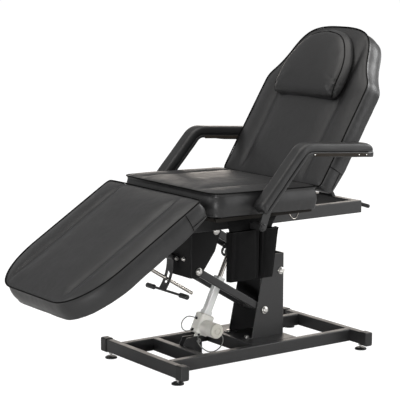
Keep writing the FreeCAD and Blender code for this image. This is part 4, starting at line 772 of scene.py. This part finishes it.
def pillow_outline():
    shares = [
        (0.3, 0.0), (0.86, 0.0), (0.95, 0.008), (0.99, 0.04), (1.0, 0.10), (1.0, 0.2), (1.0, 0.36),
        (0.965, 0.5), (0.9, 0.62), (0.80, 0.735), (0.67, 0.85), (0.5, 0.94), (0.3, 0.985),
        (0.12, 1.0)]
    line = [(wide * pillow_half, up * pillow_long) for wide, up in shares]
    return [(0.0, 0.0)] + line + [(0.0, 0.288)]


def seam_height(s):
    return seam_low + seam_rise * dome(s / seam_over)


def make_pillow():
    grid = panel_grid(pillow_outline(), 56, 44)
    keys = rim_of(grid)
    rim = np.array([grid[key] for key in keys])
    gap = distance_to_rim(grid, rim)
    s = grid[..., 1]
    lift = seam_height(s) + pillow_crown * dome(gap / crown_over)
    lower = np.clip(1 - s / 0.06, 0.0, 1.0)
    boxed = 1 - lower[tuple(np.array(keys).T)] ** 2

    def bulge(share, drop):
        def row(top):
            out = pillow_flare * share ** 0.7 + pillow_belly * math.sin(math.pi * share)
            return -boxed * out, top * (1 - drop) + pillow_foot * drop
        return row

    walls = [bulge(0.05, 0.06), bulge(0.12, 0.14)]
    walls += [bulge(0.12 + 0.74 * step / 8, 0.14 + 0.76 * step / 8) for step in range(1, 9)]
    walls += [
        lambda top: (-0.014 * boxed, pillow_foot + cover_gap),
        lambda top: (0.022, pillow_foot), lambda top: (0.06, pillow_foot)]
    place = tilted(
        back_y + pillow_run * math.cos(back_turn), back_z + pillow_run * math.sin(back_turn),
        back_angle)
    piece, rim, outward = sewn_shell("head_pad", grid, lift, walls, place)
    panel = grid.shape[0] * grid.shape[1]
    sewn = np.full(len(piece.data.vertices), 0.35)
    sewn[:panel] = np.clip(1 - ease((gap.ravel() - 0.003) / 0.03), 0.02, 1.0)
    sewn[panel + 10 * len(rim):] = 1.0
    inflate(piece, sewn, pad_reach, pad_pressure)
    subdivide_once(piece)
    crumple(piece, 0.0009, 0.06, 11.0)

    def near_corner(points):
        across = np.abs(points[:, 0])
        along = (points[:, 1] - back_y) * math.cos(back_turn)
        along = along + (points[:, 2] - back_z) * math.sin(back_turn)
        distance = np.hypot(across - pillow_half, along - pillow_run - fold_up)
        return ease(1 - distance / fold_reach)

    crumple(piece, 0.0028, 0.013, 12.0, near_corner)
    finish_soft(piece, "pillow", "head_pillow")
    edge = []
    for (x, s_now), (ox, oy) in zip(rim, outward):
        if s_now > 0.012 or abs(x) > 0.172:
            edge.append((x + ox * 0.0006, s_now + oy * 0.0006))
    first = max(range(len(edge)), key=lambda i: math.dist(edge[i], edge[i - 1]))
    edge = edge[first:] + edge[:first]
    line = [place(x, s_now, float(seam_height(max(s_now, 0.0))) + 0.0004) for x, s_now in edge]
    # Near-black seam leather: painted shade along the pillow's piping
    sewn_line("head_pad_welt", line, pillow_welt, False, seam_shade_leather, "pillow")


make_pillow()


# Arm pads: one padded sleeve along the bent board, with a tucked seam above the board's edge

def arm_way(angle):
    return Vector((0.0, math.cos(math.radians(angle)), math.sin(math.radians(angle))))


arm_rise, arm_level = 47.5, -4.0
first_run, second_run = 0.288, 0.340
arm_foot = Vector((0.0, -0.158, 0.655))
arm_first, arm_second = arm_way(arm_rise), arm_way(arm_level)
arm_corner = arm_foot + arm_first * first_run
arm_bend = 0.058
arm_setback = arm_bend * math.tan(math.radians((arm_rise - arm_level) / 2))
arm_into = first_run - arm_setback
arm_arc = arm_bend * math.radians(arm_rise - arm_level)
arm_whole = arm_into + arm_arc + second_run - arm_setback
arm_start = -0.010
arm_x = 0.3538
arm_sides = ((1.0, "arm_left"), (-1.0, "arm_right"))


def arm_frame(run):
    up_first = Vector((0.0, -arm_first.z, arm_first.y))
    if run <= arm_into:
        return arm_foot + arm_first * run, up_first
    if run <= arm_into + arm_arc:
        turn = (run - arm_into) / arm_bend
        centre = arm_foot + arm_first * arm_into - up_first * arm_bend
        up = up_first * math.cos(turn) + arm_first * math.sin(turn)
        return centre + up * arm_bend, up
    up_second = Vector((0.0, -arm_second.z, arm_second.y))
    start = arm_corner + arm_second * arm_setback
    return start + arm_second * (run - arm_into - arm_arc), up_second


# Half of the pad's section in millimetres: across, and up from the middle of the arm

half_section = [
    (0.0, 26.0), (10.0, 25.8), (18.5, 25.0), (24.4, 23.2), (28.4, 19.8), (30.9, 14.6), (31.9, 8.5),
    (32.0, 3.0), (31.6, -2.0), (30.6, -5.6), (29.1, -7.8), (28.4, -8.8), (29.3, -9.7),
    (30.6, -11.2), (31.4, -14.0), (31.5, -17.5), (30.8, -20.8), (29.3, -22.5), (27.2, -23.1),
    (25.0, -22.8), (24.0, -19.0), (23.8, -13.0), (23.8, -8.3), (12.0, -8.3)]
squeeze_from, squeeze_high = -21.0, 43.3
deeper_from, deeper_high = -9.0, 13.8
deeper_most, deeper_over = 6.5, 0.12
inner_half = 24.0
foot_over, tip_over = 0.020, 0.046
lean_most, lean_over = 0.0045, 0.03
seam_drop, seam_out, seam_radius = 0.0088, 0.0293, 0.0012
arm_reach, arm_pressure = 0.0025, 2.5


def make_arm_pad(side, node, body):
    stations = [arm_start + gap for gap in (0.0004, 0.0014, 0.0032, 0.006, 0.0095, 0.0135, 0.019)]
    stations += list(np.linspace(arm_start + 0.026, arm_whole - 0.046, 92))
    stations += [arm_whole - gap for gap in (
        0.040, 0.034, 0.028, 0.0225, 0.0175, 0.013, 0.009, 0.0058, 0.003, 0.001, 0.0002)]
    loop = half_section + [(-u, v) for u, v in half_section[1:]][::-1]
    count = len(loop)
    points, faces = [], []
    for run in stations:
        centre, up = arm_frame(run)
        from_tip = arm_whole - run
        from_foot = run - arm_start
        foot_round = dome(from_foot / foot_over)
        tip_round = dome(from_tip / tip_over)
        side_round = 1 - 0.2 * (1 - dome(from_foot / 0.016)) - 0.46 * (1 - dome(from_tip / 0.040))
        deeper = deeper_most * ease((run - arm_into - arm_arc) / deeper_over)
        for u, v in loop:
            high = v
            if v > squeeze_from:
                share = (v - squeeze_from) / squeeze_high
                kept = 1 - (1 - foot_round) * 0.24 * share - (1 - tip_round) * 0.62 * share
                high = squeeze_from + (v - squeeze_from) * kept
            low_tuck = (1 - foot_round) * 5.0 * max(0.0, -v / 22.8)
            if abs(u) > inner_half and v < deeper_from:
                low_tuck -= deeper * (deeper_from - v) / deeper_high
            lean = 0.0
            if from_tip < lean_over and v < -6.0:
                lean = lean_most * ease((lean_over - from_tip) / lean_over)
            wide = u * side_round if from_tip < 0.05 or abs(u) > 24.5 or v > -8.0 else u
            spot = centre + up * ((high + low_tuck) * mm) + arm_second * lean
            points.append((side * (arm_x + wide * mm), spot.y, spot.z))
    for row in range(len(stations) - 1):
        for column in range(count):
            a = row * count + column
            b = row * count + (column + 1) % count
            faces.append((a, b, b + count, a + count) if side < 0 else (a, a + count, b + count, b))
    for row, flip in ((0, side < 0), (len(stations) - 1, side > 0)):
        middle = len(points)
        ring = list(range(row * count, row * count + count))
        points.append(np.mean([points[i] for i in ring], axis=0))
        for i in range(count):
            pair = (ring[i], ring[(i + 1) % count])
            faces.append((pair[1], pair[0], middle) if flip else (pair[0], pair[1], middle))
    piece = mesh_piece("arm_pad_soft_" + body[4:], points, faces)
    sewn = np.ones(len(piece.data.vertices))
    for row, run in enumerate(stations):
        for column, (u, v) in enumerate(loop):
            inner = abs(u) < inner_half and v < 0
            if not inner and v > -6.0 and arm_start + 0.014 < run < arm_whole - 0.02:
                sewn[row * count + column] = 0.15 if v > 8 else 0.4
    inflate(piece, sewn, arm_reach, arm_pressure)
    subdivide_once(piece)
    crumple(piece, 0.0007, 0.05, 21.0 + side)

    def near_foot(points_now):
        offset = points_now - np.array(arm_foot)
        run = offset[:, 1] * arm_first.y + offset[:, 2] * arm_first.z
        return ease(1 - run / 0.035)

    crumple(piece, 0.0020, 0.011, 23.0 + side, near_foot)
    finish_soft(piece, body, node)
    for edge in (-1.0, 1.0):
        line = []
        for run in np.linspace(arm_start + 0.012, arm_whole - 0.030, 90):
            centre, up = arm_frame(run)
            spot = centre - up * seam_drop
            line.append((side * (arm_x + edge * seam_out), spot.y, spot.z))
        name = "arm_seam_%s_%s" % (body[4:], "inner" if edge < 0 else "outer")
        # Near-black seam leather: painted shade in the tucked seam
        sewn_line(name, line, seam_radius, False, seam_shade_leather, body)


make_arm_pad(1.0, "arm_pad_left", "arm_left")
make_arm_pad(-1.0, "arm_pad_right", "arm_right")


# Screw heads in the arm boards, and the two bolts of the seat's bracket

along_x = (0.0, math.pi / 2, 0.0)
along_y = (math.pi / 2, 0.0, 0.0)
washer_radius, washer_high = 0.0088, 0.0016
bolt_radius, bolt_high = 0.0066, 0.0056
screw_radius, screw_high = 0.0026, 0.0020
screw_x, screw_drop = 0.3868, 0.0190


def smooth_by_angle(piece):
    active_only(piece)
    bpy.ops.object.shade_smooth_by_angle(angle=math.radians(35))


def round_edges(piece, width):
    bevel = piece.modifiers.new("Bevel", "BEVEL")
    bevel.width = width
    bevel.segments = 2
    bpy.ops.object.modifier_apply(modifier=bevel.name)
    smooth_by_angle(piece)


def turned_piece(name, sides, radius, height, turn, spot):
    bpy.ops.mesh.primitive_cylinder_add(vertices=sides, radius=radius, depth=height, rotation=turn)
    piece = bpy.context.view_layer.objects.active
    piece.name = name
    bpy.ops.object.transform_apply(location=False, rotation=True, scale=False)
    bpy.ops.object.mode_set(mode="EDIT")
    bpy.ops.mesh.select_all(action="SELECT")
    bpy.ops.transform.translate(value=spot)
    bpy.ops.object.mode_set(mode="OBJECT")
    return piece


def screw_head(name, spot, body):
    screw = turned_piece(name, 20, screw_radius, screw_high, along_x, spot)
    smooth_by_angle(screw)
    dress(screw, bright_steel, body)


def bracket_bolt(name, spot, axis):
    for part, sides, radius, height, base in (
            ("washer", 28, washer_radius, washer_high, 0.0),
            ("head", 6, bolt_radius, bolt_high, washer_high)):
        lift = height / 2 + base
        shift = (lift, 0.0, 0.0) if axis == "X" else (0.0, -lift, 0.0)
        turn = along_x if axis == "X" else along_y
        place = Vector(spot) + Vector(shift)
        piece = turned_piece(name + "_" + part, sides, radius, height, turn, place)
        round_edges(piece, 0.0005)
        dress(piece, bright_steel, "seat")


for side, body in arm_sides:
    for index, run in enumerate((arm_into + arm_arc + 0.008, arm_whole - 0.082, arm_whole - 0.044)):
        centre, up = arm_frame(run)
        spot = centre - up * screw_drop
        screw_head("arm_screw_%s_%d" % (body[4:], index), (side * screw_x, spot.y, spot.z), body)
bracket_bolt("bracket_bolt_side", (-0.006, -0.2945, 0.4235), "X")
bracket_bolt("bracket_bolt_front", (0.0300, -0.2850, 0.4262), "Y")


# Arm frames with the boards cut to the photograph's shorter, blunted tip

frame_x, corner_cut = 0.351, 0.0235
slant_along, slant_across = 0.359, 0.933


def trimmed_frame(side, node, body):
    source = nodes[node]
    mesh = source.data.copy()
    mesh.transform(source.matrix_world)
    piece = bpy.data.objects.new(node + "_trimmed", mesh)
    scene.collection.objects.link(piece)
    active_only(piece)
    tip = arm_frame(arm_whole - 0.0055)[0]
    corner = arm_frame(arm_whole - 0.0250)[0]
    slant = arm_second * slant_along
    cuts = [(tip, arm_second)]
    for way in (1.0, -1.0):
        edge = corner + Vector((side * frame_x + way * corner_cut, 0.0, 0.0))
        cuts.append((edge, slant + Vector((way * slant_across, 0.0, 0.0))))
    for spot, facing in cuts:
        bpy.ops.object.mode_set(mode="EDIT")
        bpy.ops.mesh.select_all(action="SELECT")
        bpy.ops.mesh.bisect(plane_co=spot, plane_no=facing, use_fill=True, clear_outer=True)
        bpy.ops.object.mode_set(mode="OBJECT")
    smooth_by_angle(piece)
    give_finish(piece, black_paint)
    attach(piece, body)
    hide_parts(node)


trimmed_frame(1.0, "arm_frame_left", "arm_left")
trimmed_frame(-1.0, "arm_frame_right", "arm_right")


# Bare edge of the arm board, below the cover on the level run

board_thick, board_high = 0.0016, 0.0125
board_out, board_drop = 0.0318, 0.0195


def board_edge(name, side, edge, body):
    start = arm_frame(arm_into + arm_arc + 0.004)[0]
    end, up = arm_frame(arm_whole - 0.034)
    middle = (start + end) / 2 - up * board_drop
    bpy.ops.mesh.primitive_cube_add(size=1.0)
    piece = bpy.context.view_layer.objects.active
    piece.name = name
    bpy.ops.object.mode_set(mode="EDIT")
    bpy.ops.mesh.select_all(action="SELECT")
    bpy.ops.transform.resize(value=(board_thick, (end - start).length, board_high))
    bpy.ops.mesh.subdivide(number_cuts=3)
    bpy.ops.object.mode_set(mode="OBJECT")
    turn = Matrix.Rotation(math.radians(arm_level), 3, "X")
    spot = Vector((side * (arm_x + edge * board_out), middle.y, middle.z))
    put_points(piece, [turn @ Vector(point) + spot for point in points_of(piece)])
    round_edges(piece, 0.0004)
    dress(piece, bare_board, body)


for side, body in arm_sides:
    for edge, label in ((-1.0, "inner"), (1.0, "outer")):
        board_edge("arm_board_edge_%s_%s" % (body[4:], label), side, edge, body)


# Side bag of woven cloth: a back panel, two open pouches, an upper panel, a flap and a strap

bag_x = 0.2855
bag_low, bag_mouth = 0.378, 0.568
cloth_thick = 0.0014
mouth_tape = 0.0016


def cloth_shell(name, across, along, shape, thickness, finish, replaced=()):
    bpy.ops.mesh.primitive_grid_add(x_subdivisions=across, y_subdivisions=along, size=2.0)
    piece = bpy.context.view_layer.objects.active
    piece.name = name
    flat = points_of(piece)
    put_points(piece, [shape((x + 1) / 2, (y + 1) / 2) for x, y, _ in flat])
    solid = piece.modifiers.new("Solidify", "SOLIDIFY")
    solid.thickness = thickness
    solid.offset = 0.0
    bpy.ops.object.modifier_apply(modifier=solid.name)
    subdivide_once(piece)
    dress(piece, finish, "seat")
    if replaced:
        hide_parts(*replaced)


def pouch_shape(y0, y1, seed, lean=0.0):
    """An open pouch: around runs over its side, front and side, and up from its floor."""
    wide = y1 - y0
    corner = 0.21
    floor, wall = 0.14, 0.86

    def shape(around, up):
        risen = max(0.0, (up - floor) / wall)
        z = bag_low + (bag_mouth - bag_low) * risen
        depth = 0.0235 + 0.0065 * risen
        if around < corner:
            out, y = around / corner, y0 + 0.005 * (around / corner) ** 2
        elif around > 1 - corner:
            out, y = (1 - around) / corner, y1 - 0.005 * ((1 - around) / corner) ** 2
        else:
            out, y = 1.0, y0 + 0.005 + (wide - 0.010) * (around - corner) / (1 - 2 * corner)
        if up < floor:
            out *= 0.08 + 0.92 * up / floor
            z = bag_low + 0.0008 + 0.0012 * (1 - up / floor)
        share = (y - y0) / wide
        rise = (z - bag_low) / (bag_mouth - bag_low)
        belly = 0.0075 * math.sin(math.pi * min(1.0, max(0.0, share)))
        belly *= math.sin(math.pi * min(1.0, 0.12 + rise * 0.8)) ** 0.8
        fold = 0.0034 * math.exp(-((share - 0.14 - 0.05 * rise) / 0.05) ** 2)
        fold += 0.0030 * math.exp(-((share - 0.9 + 0.04 * rise) / 0.045) ** 2)
        ripple = 0.0012 * noise.noise(Vector((seed, share * 4.0, rise * 2.4)))
        x = bag_x + depth * out + (belly - fold + ripple) * max(0.0, out * 2 - 1) * (up >= floor)
        side = 1 if around < corner else -1 if around > 1 - corner else 0
        pinch = 0.0045 * math.sin(math.pi * min(1.0, rise)) * side
        sway = 0.0015 * noise.noise(Vector((seed + 3.0, out * 2.0, rise * 3.0)))
        tapered = lean * max(0.0, share) * (1 - rise)
        return x, y - tapered + pinch * math.sin(math.pi * out) + sway, z

    return shape


def panel_shape(y0, y1, z0, z1, x, seed):
    def shape(u, v):
        wave = 0.0016 * noise.noise(Vector((seed, u * 2.2, v * 2.6)))
        return x + wave, y0 + (y1 - y0 - 0.024 * (1 - v)) * u, z0 + (z1 - z0) * v
    return shape


def top_shape(u, v):
    y = -0.2600 + (0.150 + 0.012 * v) * u
    z = 0.560 + 0.0485 * v
    sag = 0.0022 * math.sin(math.pi * v) * (1 + math.sin(5.0 * u + 0.6))
    return bag_x + 0.0014 + sag, y, z


def flap_shape(u, v):
    y = -0.266 + 0.0985 * u
    z = 0.5725 + 0.0365 * v
    x = bag_x + 0.0005 + 0.0110 * (1 - v) ** 1.4 + 0.0022 * math.sin(math.pi * u) * (1 - v)
    return x, y, z - 0.0018 * math.sin(math.pi * u) * (1 - v)


def strap_shape(u, v):
    y = -0.1010 + 0.040 * v * v + (0.044 - 0.016 * v) * u
    z = 0.560 + 0.0485 * v
    return bag_x + 0.0012 + 0.006 * math.sin(math.pi * v) + 0.002 * u, y, z


def edge_tape(name, shape, v, count, radius):
    line = [shape(float(u), v) for u in np.linspace(0.0, 1.0, count)]
    sewn_line(name, line, radius, False, bag_tape, "seat")


front_shape = pouch_shape(-0.2690, -0.1315, 1.0)
rear_shape = pouch_shape(-0.1285, -0.0405, 5.0, 0.024)
back_shape = panel_shape(-0.2680, -0.0405, 0.3785, 0.5675, bag_x - 0.0006, 2.0)
cloth_shell("bag_back", 40, 34, back_shape, cloth_thick, bag_cloth)
cloth_shell(
    "bag_front_pouch", 64, 44, front_shape, cloth_thick, bag_cloth, ("bag_panel", "bag_pouches"))
cloth_shell("bag_rear_pouch", 56, 44, rear_shape, cloth_thick, bag_cloth)
cloth_shell("bag_top", 34, 12, top_shape, cloth_thick, bag_cloth)
cloth_shell("bag_flap", 26, 16, flap_shape, 0.0015, bag_cloth)
cloth_shell("bag_strap", 6, 22, strap_shape, 0.0018, bag_tape)
edge_tape("bag_front_tape", front_shape, 1.0, 60, mouth_tape)
edge_tape("bag_rear_tape", rear_shape, 1.0, 60, mouth_tape)
edge_tape("bag_flap_tape", flap_shape, 0.0, 40, 0.0013)


# Materials of the frame's own parts

for row in frame["record"]["subparts"]:
    label = row["node"]
    if label in nodes:
        give_finish(nodes[label], own_finishes.get(label, slot_finishes[row["material_slot"]]))
for lead in (loop_lead, hanging_lead):
    lead.data.materials.append(grey_lead)


# Floor, sky and lamps

white = (1.0, 1.0, 1.0, 1.0)
floor_grey, floor_wide = 0.72, 24.0
floor_glow, glow_share = 1.22, 0.82
sky_light, sky_seen = 0.46, 1.02


def camera_mix(tree, factor, usual, seen, output):
    blend = add_node(tree, "ShaderNodeMixShader")
    for socket, source in zip(blend.inputs, (factor, usual.outputs[0], seen.outputs[0])):
        tree.links.new(source, socket)
    tree.links.new(blend.outputs[0], tree.nodes[output].inputs["Surface"])


def white_stage():
    finish = bpy.data.materials.new("studio_floor")
    finish.use_nodes = True
    tree = finish.node_tree
    shader = tree.nodes["Principled BSDF"]
    shader.inputs["Base Color"].default_value = (floor_grey, floor_grey, floor_grey, 1.0)
    shader.inputs["Roughness"].default_value = 1.0
    shader.inputs["Specular IOR Level"].default_value = 0.0
    glow = add_node(tree, "ShaderNodeEmission")
    glow.inputs["Color"].default_value = white
    glow.inputs["Strength"].default_value = floor_glow
    path = add_node(tree, "ShaderNodeLightPath")
    share = math_node(tree, "MULTIPLY", path.outputs["Is Camera Ray"], glow_share)
    camera_mix(tree, share, shader, glow, "Material Output")
    bpy.ops.mesh.primitive_plane_add(size=floor_wide, location=(0.0, 0.0, 0.0))
    floor = bpy.context.view_layer.objects.active
    floor.name = "studio_floor"
    floor.data.materials.append(finish)


def sky():
    world = bpy.data.worlds.new("studio")
    scene.world = world
    world.use_nodes = True
    tree = world.node_tree
    ground = tree.nodes["Background"]
    ground.inputs["Color"].default_value = white
    ground.inputs["Strength"].default_value = sky_light
    seen = add_node(tree, "ShaderNodeBackground")
    seen.inputs["Color"].default_value = white
    seen.inputs["Strength"].default_value = sky_seen
    path = add_node(tree, "ShaderNodeLightPath")
    camera_mix(tree, path.outputs["Is Camera Ray"], ground, seen, "World Output")


def soft_lamp(name, spot, aim, size, power, colour=white[:3], spread=180.0):
    data = bpy.data.lights.new(name, "AREA")
    data.shape = "RECTANGLE"
    data.size, data.size_y = size
    data.energy = power
    data.color = colour
    data.spread = math.radians(spread)
    lamp = bpy.data.objects.new(name, data)
    scene.collection.objects.link(lamp)
    lamp.location = spot
    lamp.rotation_euler = (Vector(aim) - Vector(spot)).to_track_quat("-Z", "Y").to_euler()


white_stage()
sky()
warm = (1.0, 0.975, 0.94)
soft_lamp("overhead", (0.4, -0.2, 3.4), (0.0, 0.0, 0.6), (3.6, 3.0), 84.0, warm)
soft_lamp("left_front", (-1.2, -3.6, 2.2), (0.0, 0.0, 0.6), (1.8, 1.6), 38.0)
soft_lamp("right_side", (3.0, 2.5, 1.5), (0.2, 0.4, 0.7), (1.0, 2.6), 34.0)
soft_lamp("head_end", (1.3, 3.9, 2.7), (0.2, 0.4, 1.1), (1.2, 1.6), 104.0)
soft_lamp("far_side", (-3.2, 2.4, 1.3), (0.0, 0.0, 0.6), (2.6, 1.2), 24.0, (1.0, 0.9, 0.8))
soft_lamp("low_front", (2.5, -2.7, 0.5), (0.02, -0.16, 0.16), (0.5, 0.3), 2.8, spread=34.0)

scene.view_settings.view_transform = "Standard"


# Final update of the view layer

bpy.context.view_layer.update()
